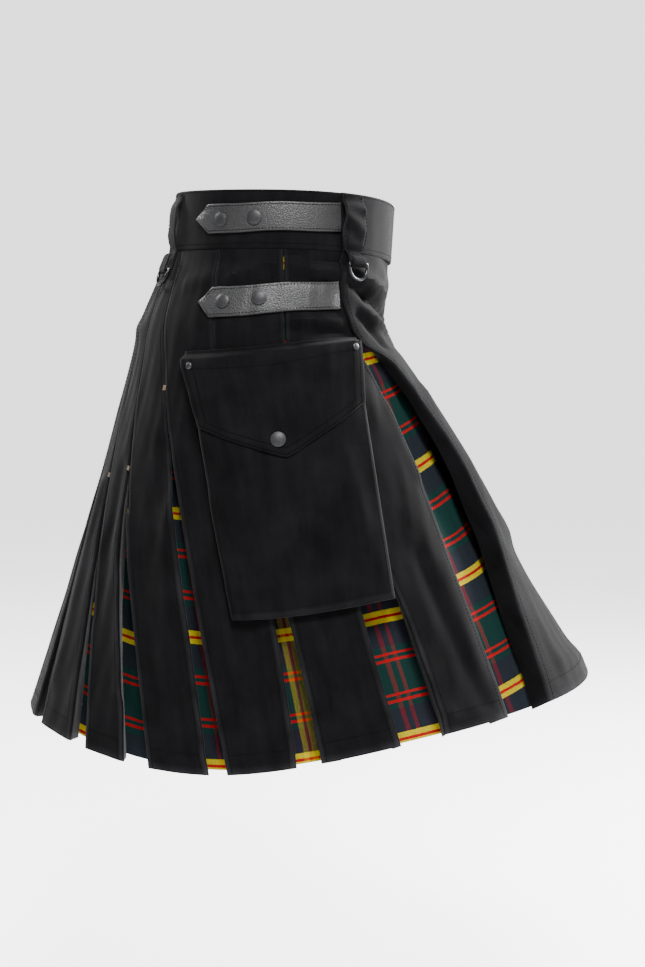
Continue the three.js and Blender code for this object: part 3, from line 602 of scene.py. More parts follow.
def stripes(tree, run):
    turn = maths(tree, "FRACT", maths(tree, "DIVIDE", run, REPEAT))
    ramp = put(tree, "ShaderNodeValToRGB", inputs={0: turn})
    ramp.color_ramp.interpolation = "CONSTANT"
    stops = ramp.color_ramp.elements
    stops.remove(stops[1])
    start = 0.0
    for colour, width in SETT:
        stop = stops.new(start / REPEAT) if start else stops[0]
        stop.position = start / REPEAT
        stop.color = colour
        start += width
    return ramp.outputs[0]


drift = swing(tree, noise(tree, place, 0.5, 2.0), 0.7)
split = put(tree, "ShaderNodeSeparateXYZ", inputs={0: place}).outputs
along = stripes(tree, maths(tree, "ADD", split["X"], drift))
across = stripes(tree, maths(tree, "ADD", split["Y"], drift))
slant = maths(tree, "DIVIDE", maths(tree, "ADD", split["X"], split["Y"]), given["Rib"])
over = maths(tree, "LESS_THAN", maths(tree, "FRACT", slant), given["Along share"])
woven = mixed(tree, across, longer(tree, along, given["Along light"]), over)
fuzz = noise(tree, place, 0.9, 4.0, 0.65)
shaded = longer(tree, woven, scaled(tree, fuzz, 0.7, 0.65))
wave = maths(tree, "SINE", maths(tree, "MULTIPLY", slant, FULL_TURN))
height = maths(tree, "ADD", maths(tree, "MULTIPLY", wave, 0.4), maths(tree, "MULTIPLY", fuzz, 0.8))
TARTAN_WEAVE = give(tree, out, shaded, scaled(tree, fuzz, 0.2, 0.72), height, 0.45, 0.00025)
print("tartan repeat, mm:", round(REPEAT, 1))

# %% [markdown]
# ## Leather and metal
# Leather's pebbles are a smooth Voronoi pattern pushed about by a noise, so that no cell is
# regular: raised tops catch the light and wear paler. Cast metal is nearly plain, with broad
# tarnish and fine scuffs.

# %% The leather's grain
tree, given, out = surface_group("Leather grain", {
    "Tone": (0.02, 0.02, 0.021, 1), "Worn": (0.06, 0.06, 0.062, 1), "Pebble": 0.62})
place = given["Place"]
push = longer(tree, noise(tree, place, 0.35, 2.0, output=1), 1.4)
moved = put(tree, "ShaderNodeVectorMath", inputs={0: place, 1: push}).outputs[0]
pebble = put(tree, "ShaderNodeTexVoronoi", {"feature": "SMOOTH_F1"}, {
    "Vector": moved, "Scale": given["Pebble"], "Smoothness": 0.35}).outputs["Distance"]
broad = noise(tree, place, 0.05, 2.0)
top = maths(tree, "SUBTRACT", 0.75, pebble, True)
tone = mixed(tree, given["Tone"], given["Worn"], maths(tree, "MULTIPLY", top, maths(tree, "ADD", broad, 0.3)))
rough = maths(tree, "ADD", maths(tree, "MULTIPLY", pebble, 0.3), scaled(tree, broad, 0.2, 0.26))
height = maths(tree, "ADD", top, maths(tree, "MULTIPLY", noise(tree, place, 2.2, 3.0), 0.15))
LEATHER_GRAIN = give(tree, out, tone, rough, height, 0.9, 0.0004)

# %% The metal's finish
tree, given, out = surface_group("Cast metal", {
    "Tone": (0.2, 0.2, 0.2, 1), "Tarnish": (0.06, 0.06, 0.06, 1), "Polish": 0.35})
place = given["Place"]
scuff = noise(tree, place, 1900.0, 3.0)
dark = maths(tree, "MULTIPLY", maths(tree, "SUBTRACT", noise(tree, place, 420.0, 4.0), 0.42), 2.4, True)
tone = mixed(tree, given["Tone"], given["Tarnish"], dark)
CAST_METAL = give(tree, out, tone, scaled(tree, scuff, 0.3, given["Polish"]), scuff, 0.15, 0.00008)


# %% Materials from the groups
def material(name, group, values, settings, on_cloth=True, to_mm=False):
    """on_cloth reads the piece's own cloth map in mm, otherwise the place on the object is read."""
    made = bpy.data.materials.new(name)
    made.use_nodes = True
    tree = made.node_tree
    shader = tree.nodes["Principled BSDF"]
    if on_cloth:
        source = put(tree, "ShaderNodeUVMap", {"uv_map": "cloth"}).outputs[0]
    else:
        source = put(tree, "ShaderNodeTexCoord").outputs["Object"]
    if to_mm:
        source = longer(tree, source, 1000)
    effect = put(tree, "ShaderNodeGroup", {"node_tree": group}, {"Place": source})
    for key, value in values.items():
        # this attribute holds scuffing and a painted highlight along folds and rounded edges
        if key == "Wear and highlight":
            worn_and_highlit = put(tree, "ShaderNodeAttribute", {"attribute_name": "wear_and_highlight"}).outputs["Fac"]
            tree.links.new(maths(tree, "MULTIPLY", worn_and_highlit, value), effect.inputs["Wear and highlight"])
        else:
            effect.inputs[key].default_value = value
    for output, input_ in (("Color", "Base Color"), ("Roughness", "Roughness"), ("Normal", "Normal")):
        tree.links.new(effect.outputs[output], shader.inputs[input_])
    for key, value in settings.items():
        shader.inputs[key].default_value = value
    return made


# %% This kilt's own materials
def metal(name, tone, tarnish, polish, metallic):
    values = {"Tone": rgb(*tone), "Tarnish": rgb(*tarnish), "Polish": polish}
    return material(name, CAST_METAL, values, {"Metallic": metallic}, on_cloth=False)


def thread(name, tone, faded, shine):
    values = {"Tone": rgb(*tone), "Faded": rgb(*faded), "Rib": 0.0004}
    return material(name, DRILL_WEAVE, values, {"Specular IOR Level": shine}, on_cloth=False, to_mm=True)


# the drill is painted paler along folds and rounded edges: partly scuffing, partly a painted highlight
DRILL = material(
    "black_drill", DRILL_WEAVE,
    {"Tone": rgb(4, 4, 5), "Faded": rgb(26, 26, 28), "Rubbed and highlit": rgb(40, 40, 42), "Wear and highlight": 0.6},
    {"Specular IOR Level": 0.05, "Sheen Weight": 0.06, "Sheen Roughness": 0.35})
TARTAN = material("tartan", TARTAN_WEAVE, {"Along share": 0.34, "Along light": 0.45},
                  {"Specular IOR Level": 0.05})
LEATHER = material("black_leather", LEATHER_GRAIN, {"Tone": rgb(16, 16, 17), "Worn": rgb(46, 46, 48)},
                   {"Specular IOR Level": 0.5})
SNAP_METAL = metal("snap_metal", (46, 46, 48), (32, 32, 34), 0.36, 0.6)
RING_METAL = metal("ring_metal", (60, 60, 62), (26, 26, 28), 0.16, 1.0)
RIVET_METAL = metal("rivet_metal", (70, 70, 72), (40, 40, 42), 0.34, 1.0)
THREAD = thread("black_thread", (2, 2, 2), (10, 10, 10), 0.05)
TACK_THREAD = thread("pale_thread", (120, 104, 86), (160, 142, 118), 0.3)
print("materials:", len(bpy.data.materials))

# %% [markdown]
# ## Making a cloth piece
# A piece is a ribbon swept down the kilt: its section's line gets a wall, an outer and an inner
# side, and each row of points is laid on the body. Its UV map holds the cloth's own millimetres,
# across and down, so that the weave and the tartan lie true on it wherever it folds.

# %% Meshes
def mesh_object(name, points, faces, uv, look, wear_and_highlight=None, sharp=40):
    """An object with its cloth map, its paleness map of scuffing and painted highlight, and one material.
    Edges over sharp degrees stay crisp.
    """
    mesh = bpy.data.meshes.new(name)
    mesh.from_pydata(points.reshape(-1, 3).tolist(), [], faces)
    layer = mesh.uv_layers.new(name="cloth")
    corner = np.zeros(len(mesh.loops), np.int32)
    mesh.loops.foreach_get("vertex_index", corner)
    layer.data.foreach_set("uv", uv.reshape(-1, 2)[corner].astype(np.float32).ravel())
    # the paleness map: scuffing, and a painted highlight along folds and rounded edges
    if wear_and_highlight is not None:
        rubbed_and_highlit = mesh.attributes.new("wear_and_highlight", "FLOAT", "POINT")
        rubbed_and_highlit.data.foreach_set("value", wear_and_highlight.astype(np.float32).ravel())
    mesh.materials.append(look)
    mesh.shade_smooth()
    mesh.set_sharp_from_angle(angle=math.radians(sharp))
    made = bpy.data.objects.new(name, mesh)
    bpy.context.scene.collection.objects.link(made)
    return made


def tube_faces(rows, count, flip):
    """Quads of a tube of closed rows, with its ends closed across the ribbon."""
    faces = []
    for r in range(rows - 1):
        for i in range(count):
            a, b = r * count + i, r * count + (i + 1) % count
            faces.append((a, a + count, b + count, b))
    half = count // 2
    for base, first in ((0, True), ((rows - 1) * count, False)):
        for i in range(half - 1):
            quad = (base + i, base + i + 1, base + count - 2 - i, base + count - 1 - i)
            faces.append(quad if first else quad[::-1])
    return [f[::-1] for f in faces] if flip else faces


# %% Walls and closed rows
def walled(flat, wall):
    """Outer and inner side of a centre line. flat is (rows, points, 2)."""
    step = np.diff(flat, axis=1)
    step /= np.maximum(np.linalg.norm(step, axis=-1, keepdims=True), 1e-9)
    after = np.concatenate([step, step[:, -1:]], 1)
    before = np.concatenate([step[:, :1], step], 1)
    normal = np.stack([-(after[..., 1] + before[..., 1]), after[..., 0] + before[..., 0]], -1) / 2
    size = np.maximum(np.linalg.norm(normal, axis=-1, keepdims=True), 1e-6)
    reach = np.reshape(wall, (-1, 1, 1)) / 2 * np.minimum(1 / size, 1.5) / size
    return flat + normal * reach, flat - normal * reach


def there_and_back(front, back):
    """The rows of a closed tube: a face's points, and the other face's the other way."""
    return np.concatenate([front, back[:, ::-1]], 1)


def stands_for(made, node, body="kilt"):
    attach(made, body)
    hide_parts(node)


# %% A ribbon of cloth
PIECES = {}    # each cloth piece's object, outer points, width and length
# how pale the folds are painted: partly scuffing, partly a painted highlight on the fold's round
FOLD_WEAR_AND_HIGHLIGHT = 0.6


def ribbon(node, down, mm, line, look, wall=CLOTH, side=1, hem_wear=0.0):
    """A cloth piece that stands for a CAD node. line holds its section at every row of down."""
    mm = np.broadcast_to(mm, down.shape)[:, None]
    flat = np.stack([line[..., 0] * mm, line[..., 1]], -1)
    loop = there_and_back(*walled(flat, np.broadcast_to(wall, down.shape)))
    points = at(loop[..., 0] / mm, down[:, None], loop[..., 1], side)
    run = np.concatenate([np.zeros((len(down), 1)),
                          np.cumsum(np.linalg.norm(np.diff(flat, axis=1), axis=-1), 1)], 1)
    u = run - run[:, -1:] / 2
    uv = np.stack([there_and_back(u, u), np.broadcast_to(down[:, None], loop.shape[:2])], -1)
    count = flat.shape[1]
    # the folds are painted pale, more so further down, partly as scuffing and partly as a painted highlight
    # on the fold's round; the hem is scuffed pale
    bent = np.zeros(flat.shape[:2])
    bent[:, BACK + 4:BACK + BEND] = bent[:, -(BACK + BEND):-BACK - 4] = FOLD_WEAR_AND_HIGHLIGHT
    rub_and_highlight = bent * (0.45 + 0.55 * smoothstep(down, 150, 600))[:, None]
    rub_and_highlight += hem_wear * smoothstep(down, HEM - 9, HEM)[:, None]
    made = mesh_object(node + "_cloth", points, tube_faces(len(down), 2 * count, side > 0), uv, look,
                       there_and_back(rub_and_highlight, rub_and_highlight))
    stands_for(made, node)
    middle = (points[:, :count] + points[:, count:][:, ::-1]) / 2
    width = np.linalg.norm(np.diff(middle, axis=1), axis=-1).sum(1).max()
    length = np.linalg.norm(np.diff(middle, axis=0), axis=-1).sum(0).max()
    PIECES[node] = (made, points[:, :count], round(width * 1000), round(length * 1000))


# %% Rows down the kilt, closer where the cloth turns and at the hem
SEAM_GAP = 0.3
HEM_STEPS = np.array([20, 14, 8, 3, 0])    # the last rows' distances from the hem


def rows_to(hem):
    steps = np.concatenate([np.arange(BAND_HEIGHT + SEAM_GAP, 220, 5.4), np.arange(222, hem - 26, 7.5)])
    return np.concatenate([steps, hem - HEM_STEPS])


ROWS = rows_to(HEM)
INSET_ROWS = rows_to(HEM - 4)
HEM_ROW = len(ROWS) - len(HEM_STEPS)
print("rows in a panel:", len(ROWS))

# %% [markdown]
# ## Panels and insets
# The visible drill panels each carry a return on both sides, top-stitched close to the fold. The
# tartan strip behind is sewn to the returns. The tartan's stripes run at one height all round,
# and each strip was cut from another place across the cloth, so the upright stripes differ. They
# also look wider than the level ones on the real kilt, so a strip takes in only a share of the
# sett across its width.

# %% Panels and insets, both sides
# where each strip was cut from, across and down the cloth in mm, and the share of its width
CUT_FROM = {1: (44, 0, 0.45), 2: (50.5, 0, 0.6), 3: (6, 0, 0.85), 4: (52, 0, 0.8), 5: (57, -14, 0.8),
            6: (20, 0, 0.8), 7: (88, 0, 0.8)}
STRIPS = {"inset_back": (70.0, 0, 0.8)}
for (side, word), names in zip(SIDES, (RIGHT, LEFT)):
    for i in range(7):
        mm, line = panel_line(names[i], names[i + 1], ROWS, 26 if i < 3 else 16)
        ribbon(f"panel_{i + 1}_{word}", ROWS, mm, line, DRILL, side=side, hem_wear=0.8)
        if names[i] == "p1":
            mm, line = forward_inset_line(INSET_ROWS)
        else:
            mm, line = inset_line(names[i], INSET_ROWS)
        ribbon(f"inset_{i + 1}_{word}", INSET_ROWS, mm, line, TARTAN, side=side)
        across, lower, share = CUT_FROM[i + 1]
        if side < 0:
            across = (across * 1.7 + 31) % REPEAT
        STRIPS[f"inset_{i + 1}_{word}"] = (across, lower, share)
mm, line = inset_line("p8", INSET_ROWS)
ribbon("inset_back", INSET_ROWS, mm, line, TARTAN)
print("tartan strips:", len(STRIPS))

# %% Where each tartan strip was cut from
SETT_TOP = 60.0          # the sett's place at the waist
WIDE_TOP, LEAN = 19, 0.26    # the wide inset hangs lower, and leans with the thigh
for node, (across, lower, share) in STRIPS.items():
    made, points, _, _ = PIECES[node]
    layer = made.data.uv_layers["cloth"].data
    uv = np.zeros(len(layer) * 2, np.float32)
    layer.foreach_get("uv", uv)
    uv = uv.reshape(-1, 2)
    if node == "inset_1_right":
        # its stripes run true beside the first panel's visible edge
        sewn_edge = pleat("p1", INSET_ROWS)
        hidden = sewn_edge["half"] + INSET_PAST - sewn_edge["gap"]
        run = np.linalg.norm(np.diff(points, axis=1), axis=-1).sum(1) * 1000
        row = np.clip(np.searchsorted(INSET_ROWS, uv[:, 1] - 0.01), 0, len(run) - 1)
        uv[:, 0] = run[row] / 2 - uv[:, 0] - hidden[row]
        uv[:, 1] += WIDE_TOP + LEAN * share * uv[:, 0]
    uv[:, 0] = uv[:, 0] * share + across
    uv[:, 1] += SETT_TOP + lower
    layer.foreach_set("uv", uv.ravel())

# %% [markdown]
# ## Aprons
# The outer apron lies flat over the front and its free edge is on the wearer's right, turned
# under with a facing that shows where the edge swings open. The under apron lies below it.

# %% Aprons
mm, line = apron_line(ROWS)
ribbon("outer_apron", ROWS, mm, line, DRILL, hem_wear=0.7)
mm, line = under_apron_line(ROWS)
ribbon("under_apron", ROWS, mm, line, DRILL, hem_wear=0.3)
print("cloth pieces:", len(PIECES))

# %% [markdown]
# ## Waistband
# One long strip, doubled and stiffened, wrapped round the body so that its ends lap at the
# front. Its edges are turned, so they are rounded rather than cut square.

# %% Waistband
BAND_OUTER_END, BAND_INNER_END = 63.2, -408
BAND_WALL = 3
BAND_LAP = BAND_WALL + SEAM_GAP


def band_face(turn):
    """The band's lift where it laps over its own inner end."""
    return np.where(turn > BAND_OUTER_END, 0, BAND_LAP * smoothstep(turn, -85, -52))


band_rows = np.array([0, 0.7, 2.2, 6, 12, 18, 24, 30, 36, 42, 48, 54, 58, 61.6, 63.3, BAND_HEIGHT])
band_wall = np.array([1.3, 2.4, 3, *[BAND_WALL] * 10, 3, 2.6, 1.7])
turns = np.concatenate([np.arange(BAND_OUTER_END, BAND_INNER_END, -2.2), [BAND_INNER_END]])
line = np.stack([turns, band_face(turns) - BAND_WALL / 2], -1)
line = np.broadcast_to(line, (len(band_rows), *line.shape))[:, ::-1]
mm = per_degree(90, band_rows)
ribbon("waistband", band_rows, mm, line, DRILL, wall=band_wall)
print("waistband, mm:", PIECES["waistband"][2:])

# %% [markdown]
# ## Leather straps
# Each strap is cut with a pointed end, padded a little, and edge-stitched. Its fore end goes
# under the apron's side; its point is held by two snaps. The edges are rounded and the middle is
# slightly full.

# %% Straps
STRAP_HALF = 15.7
STRAP_WALL = 2.8
# fore end, aft end and tip in degrees, how far down the fore and aft ends lie, and the lift
STRAPS = {"waist_strap": (63.7, 121.9, 129.3, 27, 32, 0.4),
          "hip_strap": (65.8, 116.6, 121.7, 112, 120, 0.7)}
STRAP_ACROSS = np.array([-1, -0.985, -0.95, -0.86, -0.72, -0.5, -0.25, 0,
                         0.25, 0.5, 0.72, 0.86, 0.95, 0.985, 1])
STRAP_RIM = np.array([0.5, 0.8, 0.97, 0.93, 1.0, 1.05, 1.1, 1.12, 1.1, 1.05, 1.0, 0.93, 0.97, 0.8, 0.5])
STRAP_SEAM = 2.6         # the stitching's distance from the edge
STRAP_STEPS, TIP_STEPS = 46, 9
EDGES = []               # lines to stitch, on the straps, loops and pockets
print("straps:", len(STRAPS) * len(SIDES))


# %% Making a strap
def strap(kind, word, side):
    fore, aft, tip, fore_down, aft_down, seat = STRAPS[kind]
    t, tip_t = np.linspace(0, 1, STRAP_STEPS), np.linspace(0, 1, TIP_STEPS + 1)[1:]
    angle = np.concatenate([lerp(fore, aft, t), lerp(aft, tip, tip_t)])
    down = np.concatenate([lerp(fore_down, aft_down, t), np.full(TIP_STEPS, aft_down)])
    half = np.concatenate([np.full(STRAP_STEPS, STRAP_HALF), lerp(STRAP_HALF, 0.8, tip_t)])
    down = down + 0.5 * np.sin(angle * 0.19 + (0.8 if kind == "hip_strap" else 0))
    low = np.full(len(angle), seat)
    if kind == "waist_strap":
        low = low + band_face(side * angle)
    row_down = down[:, None] + half[:, None] * STRAP_ACROSS
    row_low = low[:, None] + 0 * STRAP_ACROSS
    row_high = low[:, None] + STRAP_WALL * 0.93 * STRAP_RIM
    points = at(angle[:, None], there_and_back(row_down, row_down), there_and_back(row_high, row_low), side)
    u = np.tile(STRAP_HALF * STRAP_ACROSS, (len(angle), 1))
    u = there_and_back(u, u + 40)
    uv = np.stack([u, np.broadcast_to((angle * 2.5)[:, None], u.shape)], -1)
    node = f"{kind}_{word}"
    made = mesh_object(node + "_leather", points, tube_faces(len(angle), u.shape[1], side < 0), uv,
                       LEATHER, sharp=60)
    stands_for(made, node)
    # the edge seam runs aft along the upper edge, round the point and back along the lower edge
    inner = STRAP_HALF - STRAP_SEAM
    turn_at = tip - STRAP_SEAM * 1.3 / float(per_degree(95, 60))
    a, d, l = angle[:STRAP_STEPS], down[:STRAP_STEPS], low[:STRAP_STEPS]
    seam = (np.concatenate([a, [turn_at], a[::-1]]), np.concatenate([d - inner, [aft_down], d[::-1] + inner]),
            np.concatenate([l, low[-1:], l[::-1]]) + STRAP_WALL * 0.9)
    EDGES.append(at(*seam, side))


for side, word in SIDES:
    for kind in STRAPS:
        strap(kind, word, side)
print("strap edge lines:", len(EDGES))

# %% [markdown]
# ## Belt loops and D-rings
# A loop is a folded strip sewn to the band's top and again at its seam. Between the two it
# stands off, and its tail folds round the straight bar of a D-ring, which can swing there.

# %% Belt loops
LOOP_HALF, TAB_HALF = 13.5, 8.6       # half widths of the loop and of the tab that holds the ring
LOOP_WALL = 1.8
WIRE = 1.7                            # the ring's half thickness
TUNNEL = WIRE + 0.3 + LOOP_WALL / 2 + 0.8
SEWN = 0.3 + LOOP_WALL / 2
TAB = SEWN + 1.8
# angle, the lift of the band below, the ring bar's place down, and the loop's slack
LOOPS = {"front": (58, BAND_LAP + 0.6, 77, 1.4), "back": (149.5, 0.2, 88, 0.7)}
LOOP_ACROSS = np.array([-1, -0.96, -0.85, -0.6, -0.3, 0, 0.3, 0.6, 0.85, 0.96, 1])
LOOP_RIM = np.array([0.45, 0.8, 1, 0.97, 1, 1.02, 1, 0.97, 1, 0.8, 0.45])
LOOP_POINTS = 70


def loop_path(bar):
    """The loop's side view, from the band's top down to the bar and round it: down, lift, half width."""
    rows = np.array([
        [3, SEWN, LOOP_HALF], [8, SEWN, LOOP_HALF], [16, 6.2, LOOP_HALF], [30, 7.3, LOOP_HALF],
        [46, 7.2, LOOP_HALF], [57, 5, LOOP_HALF - 1], [62.5, SEWN + 0.4, LOOP_HALF - 2.5],
        [67, TAB, TAB_HALF], [bar, TAB, TAB_HALF], [bar + TUNNEL * 0.9, TAB + TUNNEL * 0.6, TAB_HALF],
        [bar + TUNNEL * 0.9, TAB + TUNNEL * 1.4, TAB_HALF], [bar, TAB + TUNNEL * 2, TAB_HALF],
        [72, TAB + TUNNEL * 1.8, TAB_HALF], [69, TAB + TUNNEL * 1.1, TAB_HALF]])
    run = np.concatenate([[0], np.cumsum(np.linalg.norm(np.diff(rows[:, :2], axis=0), axis=1))])
    fine = np.linspace(0, run[-1], LOOP_POINTS)
    path = np.stack([np.interp(fine, run, rows[:, j]) for j in range(3)], 1)
    for _ in range(2):
        path[1:-1] = path[1:-1] * 0.5 + (path[:-2] + path[2:]) * 0.25
    return path, fine


# %% Making a belt loop
def belt_loop(kind, word, side):
    angle, base, bar, slack = LOOPS[kind]
    path, run = loop_path(bar)
    halves = np.concatenate([path[:, 2], path[::-1, 2]])
    rows = []
    for a, thick in zip(LOOP_ACROSS, LOOP_WALL * LOOP_RIM):
        down, lift = there_and_back(*walled(path[None, :, :2], thick))[0].T
        sag = slack * np.sin(down * 0.21 + a * 2 + side) * smoothstep(np.abs(down - 34), 26, 4)
        twist = 3 * slack * np.exp(-((down - 48) / 13) ** 2)
        rows.append(at(angle + (a * halves + twist) / per_degree(angle, down), down, base + lift + sag, side))
    shape = (len(LOOP_ACROSS), 2 * LOOP_POINTS)
    u = np.broadcast_to((LOOP_ACROSS * LOOP_HALF)[:, None], shape)
    uv = np.stack([u, np.broadcast_to(np.concatenate([run, run[::-1]]), shape)], -1)
    node = f"loop_{kind}_{word}"
    # the loop's rounded edges are painted paler: partly scuffing, partly a painted highlight
    worn_and_highlit = np.where(np.abs(u) > LOOP_HALF - 1.1, 0.5, 0.0)
    made = mesh_object(node + "_cloth", np.array(rows), tube_faces(*shape, side < 0), uv, DRILL, worn_and_highlit, 60)
    stands_for(made, node)
    # two edge seams, from the band's top to the tab
    d, l, h = path[1:47].T
    for a in (-0.84, 0.84):
        EDGES.append(at(angle + a * h / per_degree(angle, d), d, base + l + LOOP_WALL * 0.55, side))


for kind in LOOPS:
    for side, word in SIDES:
        belt_loop(kind, word, side)

# %% D-rings: a bent wire with a straight bar
RING_HALF, RING_DROP = 13, 17
RING_SIDES = 12
bend = np.linspace(0, math.pi, 34)[1:-1]
RING_PATH = np.array([(x, 0) for x in np.linspace(-RING_HALF, RING_HALF, 9)]
                     + [(RING_HALF * math.cos(t) * 1.02, RING_DROP * math.sin(t) ** 0.8) for t in bend])
print("points round a ring:", len(RING_PATH))


# %% Making a ring
def ring(kind, word, side):
    angle, base, bar, _ = LOOPS[kind]
    angle = np.array(float(angle))
    n = outward(angle, bar)
    centre = face(angle, bar) + n * (base + TAB + TUNNEL)
    along = np.cross(n, face(angle, bar + 4) - face(angle, bar - 4))
    along /= np.linalg.norm(along)
    down = np.cross(along, n)
    tangent = np.roll(RING_PATH, -1, 0) - np.roll(RING_PATH, 1, 0)
    tangent /= np.linalg.norm(tangent, axis=1, keepdims=True)
    normal = np.stack([-tangent[:, 1], tangent[:, 0]], 1)
    turn = 2 * np.pi * np.arange(RING_SIDES) / RING_SIDES
    wire = WIRE * 0.97    # a little thinner than the CAD ring, so that it turns freely
    flat = RING_PATH[:, None] + normal[:, None] * wire * np.cos(turn)[:, None]
    points = centre + flat[..., :1] * along + flat[..., 1:] * down + n * (wire * np.sin(turn))[:, None]
    points = points * (side, 1, 1) / 1000
    count = len(RING_PATH)
    faces = [(i * RING_SIDES + k, i * RING_SIDES + m, j * RING_SIDES + m, j * RING_SIDES + k)
             for i, j in zip(range(count), [*range(1, count), 0])
             for k, m in zip(range(RING_SIDES), [*range(1, RING_SIDES), 0])]
    if side < 0:
        faces = [f[::-1] for f in faces]
    # the ring is the one thing here that moves, so it rides on its own body
    node = f"ring_{kind}_{word}"
    made = mesh_object(node + "_wire", points, faces, np.zeros((count * RING_SIDES, 2)), RING_METAL)
    stands_for(made, node, node + "_body")


for kind in LOOPS:
    for side, word in SIDES:
        ring(kind, word, side)
print("loops and rings:", 2 * len(SIDES) * len(LOOPS))

# %% [markdown]
# ## Cargo pockets
# A pocket bag hangs low on each hip, sewn down at its sides, with a pointed flap over its mouth.
# The bag is a real bag here, open at the top under the flap, and it sags a little between its
# sides. The flap steps out over the bag's mouth and is stitched twice round its edge.

# %% The pocket's place on the hip
# the corners' angles and places down
POCKET = dict(top_aft=(124, 181), top_fore=(60, 178), low_fore=(61.3, 459), low_aft=(102.2, 452))
SEAT, DEPTH, BAG_WALL = 2.2, 6.6, 1.6    # lift of the bag's back, its depth and its cloth
BAG_WIDTH = 176


def hump(x, middle, width):
    return np.exp(-(((x - middle) / width) ** 2))


def on_pocket(u, v):
    """Angle and place down; u runs from fore to aft and v from the mouth to the hem."""
    u, v = np.broadcast_arrays(np.asarray(u, float), np.asarray(v, float))
    top = [lerp(POCKET["top_fore"][j], POCKET["top_aft"][j], u) for j in (0, 1)]
    low = [lerp(POCKET["low_fore"][j], POCKET["low_aft"][j], u) for j in (0, 1)]
    ease = np.maximum(v, 0) ** 0.8
    return lerp(top[0], low[0], ease), lerp(top[1], low[1], v)


# %% Pocket bags
def bag_sag(u, v):
    """The bag's own hollows and folds: a trough below the flap's point, dents over the hem."""
    trough = -1.5 * hump(u - 0.05 * (v - 0.6), 0.46, 0.07) * smoothstep(v, 0.42, 0.6)
    ridge = 0.8 * hump(u, 0.63, 0.08) * smoothstep(v, 0.5, 0.75)
    dent = -0.9 * hump(u, 0.25, 0.06) * hump(v, 0.9, 0.08)
    pull = 0.7 * hump(u, 0.82, 0.05) * hump(v, 0.86, 0.1)
    lower = -0.8 * hump(v, 0.94, 0.03) * (0.5 + 0.5 * np.sin(u * 17))
    return np.minimum(trough + ridge + dent + pull + lower, 1.1)


def bag_rows(inset, wall, side):
    """The bag's outer skin, or with an inset and a wall its inner one."""
    across = np.array([0, 0.004, 0.014, 0.03, 0.05, *np.linspace(0.08, 0.92, 30),
                       0.95, 0.97, 0.986, 0.996, 1])
    along = np.concatenate([np.linspace(0, 0.95, 48), [0.97, 0.985, 0.995, 1]])
    u = lerp(inset, 1 - inset, across)[None, :]
    v = (along * (1 - inset))[:, None]
    rim = np.minimum(np.minimum(across, 1 - across)[None, :] / 0.03, (1 - along)[:, None] / 0.02 + 0.25)
    full = np.sqrt(np.clip(1 - (1 - np.clip(rim, 0, 1)) ** 2, 0, 1))
    high = SEAT + wall + (DEPTH - 2 * wall) * (0.3 + 0.7 * full) + bag_sag(u, v) * full
    angle, down = on_pocket(u, v)
    front = at(angle, down, high, side)
    back = at(angle, down, np.full(angle.shape, SEAT + wall), side)
    return there_and_back(front, back), down


# %% Making a bag
def bag(word, side):
    outer, down = bag_rows(0.0, 0.0, side)
    inner, _ = bag_rows(0.02, BAG_WALL, side)
    rows, count = outer.shape[:2]
    points = np.concatenate([outer.reshape(-1, 3), inner.reshape(-1, 3)])
    half = count // 2
    # both skins without their top ends, then the rim that joins them round the mouth
    skin = []
    for base, inward in ((0, False), (rows * count, True)):
        faces = tube_faces(rows, count, inward)
        sides = (rows - 1) * count
        skin += [tuple(base + i for i in f) for f in faces[:sides] + faces[sides + half - 1:]]
    skin += [(i, (i + 1) % count, rows * count + (i + 1) % count, rows * count + i) for i in range(count)]
    if side < 0:
        skin = [f[::-1] for f in skin]
    u = np.linspace(-BAG_WIDTH / 2, BAG_WIDTH / 2, half)[None, :] + 7
    uv = np.stack(np.broadcast_arrays(there_and_back(u, u), there_and_back(down, down)), -1)
    uv = np.concatenate([uv.reshape(-1, 2), uv.reshape(-1, 2)])
    # scuffed pale at the foot; the rounded sides are painted a little paler, partly scuffing and partly a
    # painted highlight
    rub_and_highlight = np.zeros(outer.shape[:2])
    rub_and_highlight[-3:, :half] = 0.3
    rub_and_highlight[:, :3] = rub_and_highlight[:, half - 3:half] = 0.1
    made = mesh_object(f"pocket_{word}_bag", points, skin, uv, DRILL, np.concatenate([rub_and_highlight, rub_and_highlight * 0]), 50)
    stands_for(made, f"pocket_{word}")
    # sewing down both sides, and a line above the bottom fold
    for t in (0.028, 0.972):
        v = np.linspace(0.1, 0.985, 40)
        EDGES.append(at(*on_pocket(t, v), SEAT + DEPTH * 0.98 + 0.1 + bag_sag(t, v), side))
    u = np.linspace(0.03, 0.97, 30)
    EDGES.append(at(*on_pocket(u, 0.972), SEAT + DEPTH * 0.96 + bag_sag(u, 0.972), side))


for side, word in SIDES:
    bag(word, side)


# %% Pocket flaps
FLAP_ABOVE, FLAP_STEP = 14, 9            # the sewn edge above the bag, and the step down over it
FLAP_SIDE, FLAP_POINT = 246, 290         # places down of the flap's corners and its point
FLAP_WALL, FLAP_WIDTH = 2.2, 165
FLAP_FACE = SEAT + DEPTH + 1.2 + FLAP_WALL
FLAP_SEAMS = (2.4, 9.5)                  # two rows of stitches, in from the edge
FLAP_DEEP, FLAP_DEEPER = 66, 45          # the flap's length at its sides, and what its point adds


